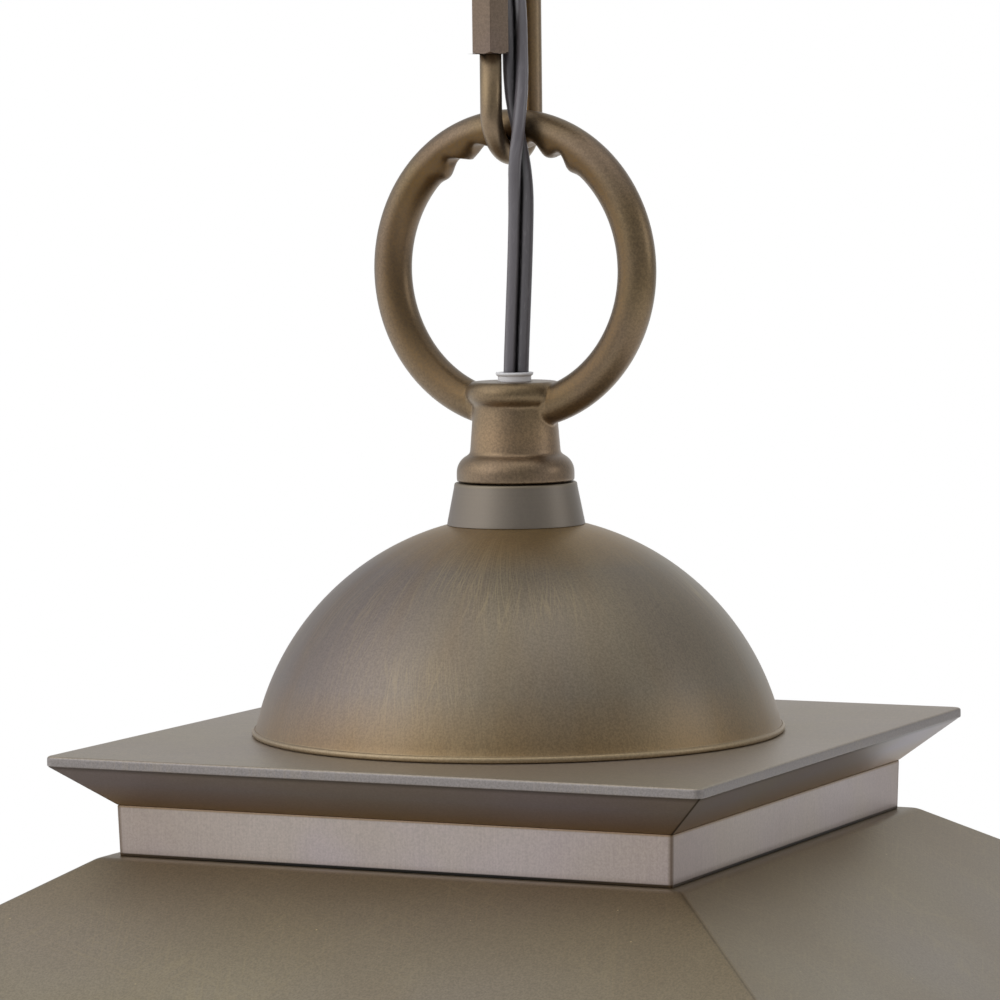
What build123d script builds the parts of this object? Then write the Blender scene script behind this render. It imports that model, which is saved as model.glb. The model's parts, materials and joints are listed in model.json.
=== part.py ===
from build123d import *
from math import asin, atan, cos, degrees, radians, sin, sqrt, tan
import os

# A square outdoor lantern that hangs from a ceiling canopy on a short chain. Millimetres, +Z up.
# The origin is the centre of the canopy's rim, in the plane of the ceiling, and everything hangs below.
# The lantern's square faces look along X and Y. Its cast loop and the chain are turned a little about Z.

# Fits
thread_gap = 0.05
slip_gap = 0.25
contact_gap = 0.3

# Ceiling canopy and what it hides
canopy_r = 63.5
canopy_depth = 30.0
canopy_wall = 1.0
rim_width = 2.5
rim_height = 4.0
canopy_floor_r = 24.0
strap_length = 108.0
strap_width = 19.0
strap_thick = 2.4
strap_flange = 5.0
slot_spacing = 88.9
slot_length = 16.0
slot_width = 5.2
ground_screw_x = 20.0
screw_r = 1.85
screw_head_r = 3.8
screw_head_height = 2.4
nipple_r = 5.1
nipple_bore_r = 3.3
nut_flats = 14.0
nut_height = 3.5

# Screw-collar loop under the canopy
boss_r = 13.0
boss_inside = 8.0
boss_below = 8.0
boss_nose_r = 8.0
boss_nose = 3.0
boss_bore_r = 4.5
ring_nut_r = 17.0
ring_nut_height = 7.0
eye_inner_r = 8.0
eye_wire_r = 2.8
eye_sink = 3.8

# Chain and quick link
loop_turn = -4.86
link_count = 3
link_wire_r = 2.25
link_length = 42.0
link_width = 24.0
quick_wire_r = 2.6
quick_length = 69.0
quick_width = 24.4
quick_gap = 9.0
sleeve_flats = 8.5
sleeve_length = 16.5
sleeve_turn = -59.7

# Cast loop and hub, heights above the top of the cap plate
loop_r = 33.7
loop_wire_r = 4.6
loop_height = 111.0
notch_r = 3.0
notch_depth = 1.4
notch_pitch = 14.4
notch_side_count = 2
hub_base = 60.35
hub_top = 84.3
hub_foot_r = 14.15
hub_foot_straight = 2.2
hub_foot_height = 6.4
neck_foot_r = 10.9
neck_top_r = 10.0
bead_r = 11.65
bead_height = 5.6
hub_nipple_depth = 13.5
bushing_hole_r = 3.85
bushing_body_r = 4.0
bushing_flange_r = 4.55
bushing_proud = 2.2
bushing_flange = 0.6
bushing_depth = 6.0

# Collar, dome and square cap
collar_top_r = 14.7
collar_foot_r = 16.6
collar_wall = 1.5
collar_gap = 0.25
dome_r = 63.5
dome_rise = 52.1
dome_wall = 1.0
dome_lip = 0.9
plate_half = 83.1
plate_edge = 2.4
plate_corner_r = 2.0
sheet = 1.2
band_top_half = 70.85
band_foot_half = 70.5
band_top = -12.3
roof_flat = -24.4

# Roof and eaves
roof_flat_half = 74.2
roof_slope = 0.572
eave_half = 158.75
fascia = 12.0
eave_bead = 1.6
eave_bead_height = 3.0
ceiling_up = 1.2
brace_length = 132.0
brace_width = 19.0
brace_thick = 3.0

# Cage: half widths at its top and bottom, and the sizes that follow the taper
cornice_reach = 8.0
cornice_step = 6.0
cornice_height = 18.0
cage_top_half = 110.0
cage_foot_half = 84.0
cage_height = 256.0
frame_inset = 8.0
moulding_wall = 2.5
post_leg = 14.0
post_thick = 2.0
pane_thick = 3.0
pane_gap = 0.1
pane_edge = 6.0
sill_step = 6.0
sill_height = 12.0
tray_half = 92.0
tray_edge = 9.0
pan_foot_half = 26.0
pan_drop = 26.0

# Door in the front face
door_gap = 0.8
door_end_gap = 2.0
door_stile = 12.0
door_thick = 5.0
door_rebate = 4.0
door_face = 1.6
door_bead = 1.0
knuckle_r = 2.6
hinge_pin_r = 1.25
pin_gap = 0.05
hinge_length = 27.0
hinge_leaf = 1.0
hinge_leaf_width = 10.0
hinge_from_end = 38.0
knob_r = 5.0
knob_length = 11.0
catch_thick = 0.8
catch_height = 16.0
catch_reach = 8.0

# Candle cluster
stem_r = 6.35
stem_foot = -278.0
nipple_into_stem = 14.0
cluster_r = 22.0
cluster_height = 34.0
cluster_wall = 2.0
cluster_knob_r = 5.0
cluster_knob_drop = 12.0
arm_r = 3.0
arm_dip = 14.0
candle_reach = 52.0
candle_count = 4
cup_r = 15.0
cup_height = 5.0
cup_wall = 1.2
cup_lift = 8.0
candle_r = 11.0
candle_wall = 1.0
candle_height = 82.0
socket_r = 8.5
socket_height = 40.0
lamp_base_r = 5.95
lamp_base_height = 18.0
bulb_r = 17.5
bulb_height = 78.0
bulb_neck_r = 5.6

# Bottom finial
finial_r = 13.0
finial_neck_r = 5.0
finial_length = 44.0

# The cord: an equal round section for the flat twin cord, and its hand-chosen route from the ceiling down
cord_r = 2.2
cord_route = [
    (0.0, 0.0, -0.6), (0.1, 0.0, -12.0), (0.0, 0.1, -24.0), (0.1, 0.0, -35.0), (1.0, -1.6, -43.0),
    (5.0, -5.7, -50.5), (5.7, -6.4, -61.0), (5.4, -6.3, -77.0), (4.8, -5.7, -93.0), (-4.8, 5.7, -116.0),
    (-5.5, 6.4, -131.0), (-5.4, 6.3, -147.0), (-4.6, 5.8, -163.0), (-2.6, 5.2, -171.5), (0.1, 2.0, -180.8),
    (2.2, -1.5, -190.3), (5.2, -6.2, -200.5), (6.4, -7.9, -206.5), (6.1, -7.3, -212.5), (5.0, -4.4, -222.0),
    (3.4, -2.5, -236.0), (1.6, -0.9, -252.0), (0.4, 0.0, -264.5), (0.1, 0.1, -277.0), (0.0, 0.1, -289.0),
]
cord_cuts = [-41.6, -78.0, -112.0, -149.0, -187.0, -249.0]
cord_floor_drop = 12.0
tail_runs = 7

# Heights down the chain, each the centre of the wire that the next piece hangs on
link_pitch = link_length - 4 * link_wire_r - contact_gap
canopy_floor = -canopy_depth
boss_foot = canopy_floor - boss_below
nose_foot = boss_foot - boss_nose
eye_r = eye_inner_r + eye_wire_r
eye_centre = nose_foot + eye_sink - eye_inner_r
eye_hang = eye_centre - eye_r
first_link_top = eye_hang + eye_wire_r + link_wire_r + contact_gap
last_link_hang = first_link_top - (link_length - 2 * link_wire_r) - (link_count - 1) * link_pitch
quick_top = last_link_hang + link_wire_r + quick_wire_r + contact_gap
quick_hang = quick_top - (quick_length - 2 * quick_wire_r)
quick_middle = (quick_top + quick_hang) / 2
seat_from_centre = loop_r - loop_wire_r + notch_depth - contact_gap - quick_wire_r
loop_centre = quick_hang - seat_from_centre
plate_z = loop_centre - loop_height

# Heights and half widths that follow, counted from the top of the cap plate
dome_sphere_r = (dome_r ** 2 + dome_rise ** 2) / (2 * dome_rise)
dome_sphere_z = dome_rise - dome_sphere_r
collar_top = hub_base - collar_gap
collar_foot = dome_sphere_z + sqrt(dome_sphere_r ** 2 - collar_foot_r ** 2)
slope_angle = atan(roof_slope)
eave_z = roof_flat - roof_slope * (eave_half - roof_flat_half)
fascia_foot = eave_z - fascia
ceiling_foot = fascia_foot + ceiling_up
cage_top = ceiling_foot - cornice_height
cage_foot = cage_top - cage_height
taper = (cage_top_half - cage_foot_half) / cage_height
sill_foot = cage_foot - sill_height
tray_foot = sill_foot - tray_edge
pan_foot = tray_foot - pan_drop
brace_foot = roof_flat - sheet - brace_thick
stem_top = brace_foot - nut_height
nipple_foot = stem_top - nipple_into_stem
cluster_top = stem_foot + 6.0
cup_floor = cluster_top - cup_lift


def chain_frame(shape):
    """A piece modelled with the loop in the XZ plane, turned about Z as the chain hangs."""
    return Rot(0, 0, loop_turn) * shape


def on_plate(shape):
    """A piece of the lantern modelled from the top of the cap plate, brought down to where it hangs."""
    return Pos(0, 0, plate_z) * shape


def turned(profile):
    """A body of revolution about Z from a closed profile of radius and height."""
    return revolve(make_face(Plane.XZ * profile), axis=Axis.Z)


def rod(r, low, high):
    return Pos(0, 0, low) * Cylinder(r, high - low, align=(Align.CENTER, Align.CENTER, Align.MIN))


def hex_bar(flats, low, high):
    return Pos(0, 0, low) * extrude(RegularPolygon(flats / 2, 6, major_radius=False), high - low)


def square_block(half_low, half_high, low, high):
    """A square block, straight or tapered, centred on Z."""
    foot = Pos(0, 0, low) * Rectangle(2 * half_low, 2 * half_low)
    head = Pos(0, 0, high) * Rectangle(2 * half_high, 2 * half_high)
    return loft([foot, head], ruled=True)


def square_ring(half_low, half_high, hole_low, hole_high, low, high):
    return square_block(half_low, half_high, low, high) - square_block(hole_low, hole_high, low, high)


def cage_half(z):
    """Half width of the cage's outer faces at a height."""
    return cage_foot_half + taper * (z - cage_foot)


def front_slab(side_inset, out_inset, in_inset, low, high):
    """A tapered slab in the front face, set in from the cage's outline by the given distances."""
    ends = []
    for z in (low, high):
        half = cage_half(z)
        middle = -half + (out_inset + in_inset) / 2
        ends.append(Pos(0, middle, z) * Rectangle(2 * (half - side_inset), in_inset - out_inset))
    return loft(ends, ruled=True)


def wire_link(length, width, wire_r):
    """A closed oval link in the XZ plane, centred on the origin."""
    bend_r = width / 2 - wire_r
    straight = length - width
    bend = revolve(Pos(bend_r, 0, 0) * Circle(wire_r), axis=Axis.Y, revolution_arc=-180)
    top = Pos(0, 0, straight / 2) * bend
    foot = Pos(0, 0, -straight / 2) * (Rot(0, 180, 0) * bend)
    legs = [Pos(side * bend_r, 0, 0) * Cylinder(wire_r, straight) for side in (-1, 1)]
    return top + foot + legs[0] + legs[1]


def crossbar():
    """Pressed steel strap for the outlet box, with a slot at each end and turned-down edges."""
    bar = Pos(0, 0, -strap_thick / 2) * Box(strap_length, strap_width, strap_thick)
    for side in (-1, 1):
        y = side * (strap_width - strap_thick) / 2
        flange_length = slot_spacing - slot_length - 2 * slot_width
        bar += Pos(0, y, -(strap_thick + strap_flange) / 2) * Box(
            flange_length, strap_thick, strap_flange + strap_thick)
        slot = Pos(side * slot_spacing / 2, 0, 0) * SlotOverall(slot_length, slot_width)
        bar -= extrude(slot, -strap_thick)
    bar -= rod(nipple_r + thread_gap, -strap_thick, 0)
    return bar - Pos(ground_screw_x, 0, 0) * rod(screw_r + thread_gap, -strap_thick, 0)


def ground_screw():
    head = rod(screw_head_r, -strap_thick - screw_head_height, -strap_thick)
    head = fillet(head.edges().group_by(Axis.Z)[0], screw_head_height / 2)
    drive = Pos(0, 0, -strap_thick - screw_head_height) * Box(2 * screw_head_r, 1.0, 1.6)
    return Pos(ground_screw_x, 0, 0) * (head + rod(screw_r, -strap_thick, -0.2) - drive)


def canopy():
    """Spun cup with a flat rim against the ceiling and a hole for the screw collar."""
    side_r = canopy_r - rim_width / 2
    mid_r = 0.75 * canopy_r
    mid_z = -0.66 * canopy_depth
    hole_r = boss_r + slip_gap
    outer = ThreePointArc((side_r, -rim_height), (mid_r, mid_z), (canopy_floor_r, canopy_floor))
    bend = canopy_wall * sin(radians(45))
    inner = ThreePointArc(
        (canopy_floor_r, canopy_floor + canopy_wall), (mid_r - bend, mid_z + bend),
        (side_r - canopy_wall, -rim_height))
    floor = Polyline((canopy_floor_r, canopy_floor), (hole_r, canopy_floor),
                     (hole_r, canopy_floor + canopy_wall), (canopy_floor_r, canopy_floor + canopy_wall))
    rim = Polyline((side_r - canopy_wall, -rim_height), (canopy_r - rim_width, 0), (canopy_r, 0),
                   (canopy_r, -rim_height / 2), (side_r, -rim_height))
    return turned(outer + floor + inner + rim)


def canopy_nipple():
    return rod(nipple_r, canopy_floor, -0.4) - rod(nipple_bore_r, canopy_floor, -0.4)


def lock_nut(low):
    return hex_bar(nut_flats, low, low + nut_height) - rod(nipple_r + thread_gap, low, low + nut_height)


def canopy_ring_nut():
    """Knurled ring that screws up the loop's thread and holds the canopy to the ceiling."""
    ring = rod(ring_nut_r, canopy_floor - ring_nut_height, canopy_floor)
    ring = fillet(ring.edges().filter_by(GeomType.CIRCLE), ring_nut_height / 5)
    return ring - rod(boss_r + thread_gap, canopy_floor - ring_nut_height, canopy_floor)


def canopy_loop():
    """Threaded boss with a closed eye below it; the cord enters through the eye's top."""
    boss_top = canopy_floor + boss_inside
    body = turned(Polyline((0, boss_top), (boss_r, boss_top), (boss_r, boss_foot),
                           (boss_nose_r, nose_foot), (0, nose_foot), close=True))
    eye = Pos(0, 0, eye_centre) * (Rot(0, 90, 0) * Torus(eye_r, eye_wire_r))
    solid = body + eye
    solid -= rod(nipple_r + thread_gap, canopy_floor, boss_top)
    return chain_frame(solid - rod(boss_bore_r, eye_centre, canopy_floor))


def chain_link(index):
    """One oval link; odd links lie across the even ones."""
    centre = first_link_top - link_length / 2 + link_wire_r - index * link_pitch
    turn = 0 if index % 2 == 0 else 90
    link = Rot(0, 0, turn) * wire_link(link_length, link_width, link_wire_r)
    return chain_frame(Pos(0, 0, centre) * link)


def quick_leg_y():
    return -(quick_width / 2 - quick_wire_r)


def quick_link():
    """Oval quick link whose near leg is open; the gap is bridged by the threaded sleeve."""
    link = Rot(0, 0, 90) * wire_link(quick_length, quick_width, quick_wire_r)
    gap = Pos(0, quick_leg_y(), 0) * Box(4 * quick_wire_r, 4 * quick_wire_r, quick_gap)
    return chain_frame(Pos(0, 0, quick_middle) * (link - gap))


def quick_link_sleeve():
    """Hexagonal nut that runs on the quick link's near leg and closes its gap."""
    bar = hex_bar(sleeve_flats, -sleeve_length / 2, sleeve_length / 2)
    corner_r = sleeve_flats / sqrt(3)
    crown = turned(Polyline(
        (0, -sleeve_length / 2), (sleeve_flats / 2, -sleeve_length / 2),
        (corner_r, -sleeve_length / 2 + 0.6), (corner_r, sleeve_length / 2 - 0.6),
        (sleeve_flats / 2, sleeve_length / 2), (0, sleeve_length / 2), close=True))
    nut = (bar & crown) - Cylinder(quick_wire_r + pin_gap, sleeve_length)
    return chain_frame(Pos(0, quick_leg_y(), quick_middle) * (Rot(0, 0, sleeve_turn) * nut))


def hub_profile():
    """Half outline of the hub: moulded foot, tapered neck and a rounded bead at the top."""
    foot_top = hub_base + hub_foot_height
    bead_foot = hub_top - bead_height
    straight = Polyline((0, hub_top), (0, hub_base), (hub_foot_r, hub_base),
                        (hub_foot_r, hub_base + hub_foot_straight))
    ovolo = TangentArc((hub_foot_r, hub_base + hub_foot_straight), (neck_foot_r + 0.3, foot_top),
                       tangent=(0, 1))
    neck = Polyline((neck_foot_r + 0.3, foot_top), (neck_foot_r, foot_top + 0.4), (neck_top_r, bead_foot))
    bead = ThreePointArc((neck_top_r, bead_foot), (bead_r, hub_top - 0.55 * bead_height),
                         (neck_top_r, hub_top))
    lid = Line((neck_top_r, hub_top), (0, hub_top))
    return straight + ovolo + neck + bead + lid


def worn_seat():
    """Flared hole about the link's wire, wide enough for its bend at every swing."""
    reach = loop_wire_r + contact_gap
    bend_r = quick_width / 2 - quick_wire_r
    rise = bend_r - sqrt(bend_r ** 2 - reach ** 2)
    flare = rise + quick_wire_r * bend_r / (bend_r - rise) + contact_gap
    edge = ThreePointArc((flare, -reach), (quick_wire_r + contact_gap, 0), (flare, reach))
    sides = Polyline((flare, reach), (0, reach), (0, -reach), (flare, -reach))
    return Pos(0, 0, loop_height + seat_from_centre) * revolve(make_face(edge + sides), axis=Axis.Y)


def loop_hub():
    """Casting: a ring with five notches inside its top, grown out of a turned hub."""
    ring = Pos(0, 0, loop_height) * (Rot(90, 0, 0) * Torus(loop_r, loop_wire_r))
    casting = turned(hub_profile()) + ring
    cut_r = loop_r - loop_wire_r + notch_depth - notch_r
    for step in range(-notch_side_count, notch_side_count + 1):
        angle = radians(step * notch_pitch)
        place = Pos(cut_r * sin(angle), 0, loop_height + cut_r * cos(angle))
        casting -= place * (Rot(90, 0, 0) * Cylinder(notch_r, 4 * loop_wire_r))
    casting -= rod(nipple_r + thread_gap, hub_base, hub_base + hub_nipple_depth) + worn_seat()
    return on_plate(chain_frame(casting - rod(bushing_hole_r, hub_base, hub_top + loop_wire_r)))


def cord_bushing():
    """Plastic bushing pressed in the hub's top, which guards the cord."""
    top = hub_top + bushing_proud
    skirt_r = bushing_hole_r - thread_gap
    body = turned(Polyline(
        (nipple_bore_r, hub_top - bushing_depth), (skirt_r, hub_top - bushing_depth), (skirt_r, hub_top),
        (bushing_body_r, hub_top), (bushing_body_r, top - 1.6 * bushing_flange),
        (bushing_flange_r, top - bushing_flange), (bushing_flange_r, top), (nipple_bore_r, top), close=True))
    return on_plate(body)


def tapered_collar():
    """Hollow spacer between the hub and the dome, its foot fitted to the dome."""
    shell = turned(Polyline(
        (0, collar_top), (collar_top_r, collar_top), (collar_foot_r, collar_foot), (0, collar_foot),
        close=True))
    hollow = turned(Polyline(
        (0, collar_top - 2 * collar_wall), (collar_top_r - collar_wall, collar_top - 2 * collar_wall),
        (collar_foot_r - collar_wall, collar_foot), (0, collar_foot), close=True))
    seat = Pos(0, 0, dome_sphere_z) * Sphere(dome_sphere_r + thread_gap)
    return on_plate(shell - hollow - seat - rod(nipple_r + slip_gap, collar_foot, collar_top))


def dome():
    """Spun dome with a small rolled lip, open below."""
    ball = Pos(0, 0, dome_sphere_z) * Sphere(dome_sphere_r)
    inside = Pos(0, 0, dome_sphere_z) * Sphere(dome_sphere_r - dome_wall)
    lip = Pos(0, 0, dome_lip) * Torus(dome_r - 0.3 * dome_lip, dome_lip)
    keep = rod(2 * dome_r, 0, 2 * dome_rise)
    shell = ((ball - inside) & keep) + (lip - inside)
    return on_plate(shell - rod(nipple_r + slip_gap, 0, 2 * dome_rise))


def cap_plate():
    """Square tray of folded sheet, its edge turned down all round."""
    tray = Pos(0, 0, -plate_edge / 2) * Box(2 * plate_half, 2 * plate_half, plate_edge)
    tray = fillet(tray.edges().filter_by(Axis.Z), plate_corner_r)
    tray = chamfer(tray.edges().group_by(Axis.Z)[-1], 0.4)
    hollow_half = plate_half - sheet
    tray -= Pos(0, 0, -sheet - plate_edge / 2) * Box(2 * hollow_half, 2 * hollow_half, plate_edge)
    return on_plate(tray - rod(nipple_r + slip_gap, -plate_edge, 0))


def cap_soffit():
    """Sloping underside of the cap, from the plate's edge in to the band."""
    inset = plate_half - plate_corner_r / 4
    slant = (inset - band_top_half) / (plate_edge + band_top)
    wall = sheet * sqrt(1 + slant ** 2)
    hole = band_top_half - wall
    return on_plate(square_ring(band_top_half, inset, hole, inset - wall, band_top, -plate_edge))


def neck_band():
    """Upright square band that carries the cap above the roof."""
    band = square_ring(band_foot_half, band_top_half, band_foot_half - sheet, band_top_half - sheet,
                       roof_flat, band_top)
    return on_plate(band)


def roof():
    """Hipped sheet roof with a flat top and an upright fascia finished with a bead."""
    shell = square_block(eave_half, roof_flat_half, eave_z, roof_flat)
    shell += square_block(eave_half, eave_half, fascia_foot, eave_z)
    bead_half = eave_half + eave_bead
    shell += square_block(bead_half, bead_half, fascia_foot, fascia_foot + eave_bead_height)
    side = sheet / sin(slope_angle)
    inner_half = eave_half - sheet
    inner_flat_half = roof_flat_half + sheet / roof_slope - side
    inner_eave = roof_flat - sheet - roof_slope * (inner_half - inner_flat_half)
    shell -= square_block(inner_half, inner_flat_half, inner_eave, roof_flat - sheet)
    shell -= square_block(inner_half, inner_half, fascia_foot, inner_eave)
    return on_plate(shell - rod(nipple_r + slip_gap, roof_flat - sheet, roof_flat))


def eave_ceiling():
    """Flat sheet that closes the eaves and leaves the cage's top open."""
    hole = cage_top_half - frame_inset
    half = eave_half - sheet - thread_gap
    return on_plate(square_ring(half, half, hole, hole, ceiling_foot, ceiling_foot + sheet))


def roof_brace():
    """Bar under the roof's flat top that takes the pull of the chain."""
    bar = Pos(0, 0, brace_foot + brace_thick / 2) * Box(brace_length, brace_width, brace_thick)
    return on_plate(bar - rod(nipple_r + slip_gap, brace_foot, brace_foot + brace_thick))


def centre_nipple():
    """Threaded tube that clamps hub, collar, dome, cap and roof together."""
    top = hub_base + hub_nipple_depth - slip_gap
    return on_plate(rod(nipple_r, nipple_foot, top) - rod(nipple_bore_r, nipple_foot, top))


def cornice_frame():
    """Moulded frame under the eaves that carries the corner posts."""
    hole = cage_top_half - frame_inset
    lower_half = cage_top_half + cornice_reach / 4
    cornice_half = cage_top_half + cornice_reach
    step_z = ceiling_foot - cornice_step
    cove_z = step_z - cornice_step
    frame = square_ring(cornice_half, cornice_half, hole, hole, step_z, ceiling_foot)
    frame += square_ring(lower_half, cornice_half, hole, hole, cove_z, step_z)
    frame += square_ring(lower_half, lower_half, hole, hole, cage_top, cove_z)
    channel = lower_half - moulding_wall
    low, high = cage_top + moulding_wall, ceiling_foot - moulding_wall
    return on_plate(frame - square_block(channel, channel, low, high))


def corner_post(side_x, side_y):
    """Angle section that follows the cage's taper."""
    ends = []
    for z in (cage_foot, cage_top):
        half = cage_half(z)
        outline = Polyline(
            (half, half), (half - post_leg, half), (half - post_leg, half - post_thick),
            (half - post_thick, half - post_thick), (half - post_thick, half - post_leg),
            (half, half - post_leg), close=True)
        ends.append(Pos(0, 0, z) * make_face(outline))
    post = loft(ends, ruled=True)
    if side_x < 0:
        post = mirror(post, about=Plane.YZ)
    if side_y < 0:
        post = mirror(post, about=Plane.XZ)
    return on_plate(post)


def glass_pane(turn):
    """Tapered pane behind the posts, standing on the sill."""
    out = post_thick + pane_gap
    pane = front_slab(pane_edge, out, out + pane_thick, cage_foot, cage_top - pane_gap)
    return on_plate(Rot(0, 0, turn) * pane)


def sill_frame():
    """Frame under the posts, with a sloped top edge that sheds water."""
    hole = cage_foot_half - frame_inset - pane_thick
    half = cage_foot_half + sill_step
    step_z = cage_foot - sill_height / 3
    frame = square_ring(half, cage_foot_half + 1.0, hole, hole, step_z, cage_foot)
    frame += square_ring(half, half, hole, hole, sill_foot, step_z)
    channel = cage_foot_half - moulding_wall
    low, high = sill_foot + moulding_wall, cage_foot - moulding_wall
    return on_plate(frame - square_block(channel, channel, low, high))


def base_tray():
    """Floor of the lantern, a shallow tray wider than the sill."""
    foot_half = tray_half - 3.0
    hollow = foot_half - sheet
    tray = square_block(foot_half, tray_half, tray_foot, sill_foot)
    return on_plate(tray - square_block(hollow, hollow, tray_foot, sill_foot - sheet))


def base_pan():
    """Inverted hip below the floor that tapers in to the finial."""
    top_half = tray_half - 3.0 - sheet - thread_gap
    pan = square_block(pan_foot_half, top_half, pan_foot, tray_foot)
    wall = 2 * sheet
    hollow = square_block(pan_foot_half - wall, top_half - wall, pan_foot + sheet, tray_foot)
    skirt = square_ring(top_half, top_half, top_half - wall, top_half - wall, tray_foot, sill_foot - sheet)
    return on_plate(pan - hollow + skirt)


def bottom_finial():
    """Turned finial: a cove, a ball and a pointed drop."""
    ball_z = pan_foot - 0.36 * finial_length
    tip = pan_foot - finial_length
    tip_r = finial_r / 10
    head = Polyline((tip_r, tip), (0, tip), (0, pan_foot), (finial_r, pan_foot), (finial_r, pan_foot - 2.4))
    cove = ThreePointArc((finial_r, pan_foot - 2.4), (finial_neck_r + 1.4, pan_foot - 4.6),
                         (finial_neck_r, pan_foot - 8.0))
    ball = ThreePointArc((finial_neck_r, pan_foot - 8.0), (finial_r - 2.0, ball_z),
                         (finial_neck_r, 2 * ball_z - pan_foot + 8.0))
    drop = ThreePointArc((finial_neck_r, 2 * ball_z - pan_foot + 8.0), (finial_neck_r + 0.6, tip + 12.0),
                         (tip_r, tip))
    return on_plate(turned(head + cove + ball + drop))


def front_point(x_inset, z):
    """A point on the front face's outer plane, in from the cage's left edge."""
    half = cage_half(z)
    return Vector(-half + x_inset, -half, z)


def front_normal():
    return Vector(0, -1, -taper).normalized()


def hinge_frame(z):
    """Plane at a hinge: local z up the hinge axis, local x towards the door, local y inwards."""
    centre = front_point(post_leg + door_gap / 2, z) + front_normal() * (knuckle_r + contact_gap)
    return Plane(origin=centre, x_dir=(1, 0, 0), z_dir=Vector(-taper, -taper, 1))


def hinge_heights():
    return (cage_foot + hinge_from_end, cage_top - hinge_from_end)


def door_frame():
    """Rebated frame that fills the front opening between the posts."""
    inset = post_leg + door_gap
    low, high = cage_foot + door_end_gap, cage_top - door_end_gap
    glass = inset + door_stile
    frame = front_slab(inset, 0, door_thick, low, high)
    frame -= front_slab(glass, -1, door_thick + 1, low + door_stile, high - door_stile)
    rebate = glass - door_rebate
    frame -= front_slab(rebate, door_face, door_thick + 1,
                        low + door_stile - door_rebate, high - door_stile + door_rebate)
    return on_plate(frame)


def door_glass():
    inset = post_leg + door_gap + door_stile - door_rebate + pane_gap
    end = door_end_gap + door_stile - door_rebate + pane_gap
    out = door_face + pane_gap
    return on_plate(front_slab(inset, out, out + pane_thick, cage_foot + end, cage_top - end))


def leaf_plate(start, end, height):
    """Flat of a hinge leaf, lying on the face of the post or door."""
    middle = (start + end) / 2
    back = knuckle_r + contact_gap
    return Pos(middle, back - hinge_leaf / 2, 0) * Box(abs(end - start), hinge_leaf, height)


def post_leaves():
    """Fixed leaves of both hinges: two outer knuckles each, with a window for the door's knuckle."""
    half = hinge_length / 2
    third = hinge_length / 6
    leaf = leaf_plate(-door_gap / 2 - hinge_leaf_width, 0, hinge_length) + rod(knuckle_r, -half, half)
    leaf -= rod(hinge_pin_r + pin_gap, -half, half)
    leaf -= Box(4 * knuckle_r, 4 * knuckle_r, 2 * third)
    return on_plate(Compound(children=[hinge_frame(z) * leaf for z in hinge_heights()]))


def door_leaves():
    """Moving leaves of both hinges, one middle knuckle each."""
    half = hinge_length / 2
    third = hinge_length / 6 - contact_gap
    end = door_gap + hinge_leaf_width
    leaf = leaf_plate(2 * knuckle_r, end, hinge_length) + leaf_plate(0, end, 2 * third)
    leaf += rod(knuckle_r, -third, third)
    leaf -= rod(hinge_pin_r + pin_gap, -half, half)
    return on_plate(Compound(children=[hinge_frame(z) * leaf for z in hinge_heights()]))


def hinge_pins():
    half = hinge_length / 2
    pin = rod(hinge_pin_r, -half - 1.0, half)
    cap = Pos(0, 0, half) * rod(hinge_pin_r + 0.9, 0.05, 1.2)
    pin += cap + rod(hinge_pin_r, half - 1.0, half + 1.0)
    return on_plate(Compound(children=[hinge_frame(z) * pin for z in hinge_heights()]))


def door_knob():
    """Small turned knob in the middle of the door's free stile."""
    z = (cage_foot + cage_top) / 2
    half = cage_half(z)
    centre = Vector(half - post_leg - door_gap - door_stile / 2, -half, z)
    ball_foot = knob_length - 1.5 * knob_r
    profile = Polyline((0.3 * knob_r, knob_length), (0, knob_length), (0, 0), (0.7 * knob_r, 0),
                       (0.7 * knob_r, 1.2), (0.4 * knob_r, 2.4), (0.4 * knob_r, ball_foot))
    ball = ThreePointArc((0.4 * knob_r, ball_foot), (knob_r, knob_length - 0.7 * knob_r),
                         (0.3 * knob_r, knob_length))
    return on_plate(Plane(origin=centre, x_dir=(1, 0, 0), z_dir=front_normal()) * turned(profile + ball))


def door_catch():
    """Bent spring strip on the free-side post that the door closes against."""
    z = (cage_foot + cage_top) / 2
    half = cage_half(z)
    edge = Vector(half - post_leg, -half, z)
    frame = Plane(origin=edge, x_dir=(1, 0, 0), z_dir=front_normal())
    squeeze = cos(atan(taper))
    back = post_thick * squeeze
    door_back = door_thick * squeeze + contact_gap
    profile = Polyline(
        (catch_reach + 2.0, -back), (1.0, -back), (1.0, -door_back), (-catch_reach, -door_back),
        (-catch_reach, -door_back - catch_thick), (1.0 + catch_thick, -door_back - catch_thick),
        (1.0 + catch_thick, -back - catch_thick), (catch_reach + 2.0, -back - catch_thick), close=True)
    strip = extrude(make_face(Plane.XZ * profile), catch_height / 2, both=True)
    return on_plate(frame * strip)


def stem():
    tube = rod(stem_r, stem_foot, stem_top) - rod(nipple_r + thread_gap, stem_foot, stem_top)
    return on_plate(tube)


def cluster_body_solid():
    """Vase-shaped body of the candle cluster, before its hollow is cut."""
    top, foot = cluster_top, cluster_top - cluster_height
    side = Polyline((0, foot), (0, top), (stem_r + 2.4, top), (stem_r + 2.4, top - 6.0))
    shoulder = ThreePointArc((stem_r + 2.4, top - 6.0), (0.62 * cluster_r, top - 9.5),
                             (cluster_r, top - 0.45 * cluster_height))
    belly = ThreePointArc((cluster_r, top - 0.45 * cluster_height),
                          (0.86 * cluster_r, foot + 0.2 * cluster_height), (stem_r, foot))
    return turned(side + shoulder + belly + Line((stem_r, foot), (0, foot)))


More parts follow.
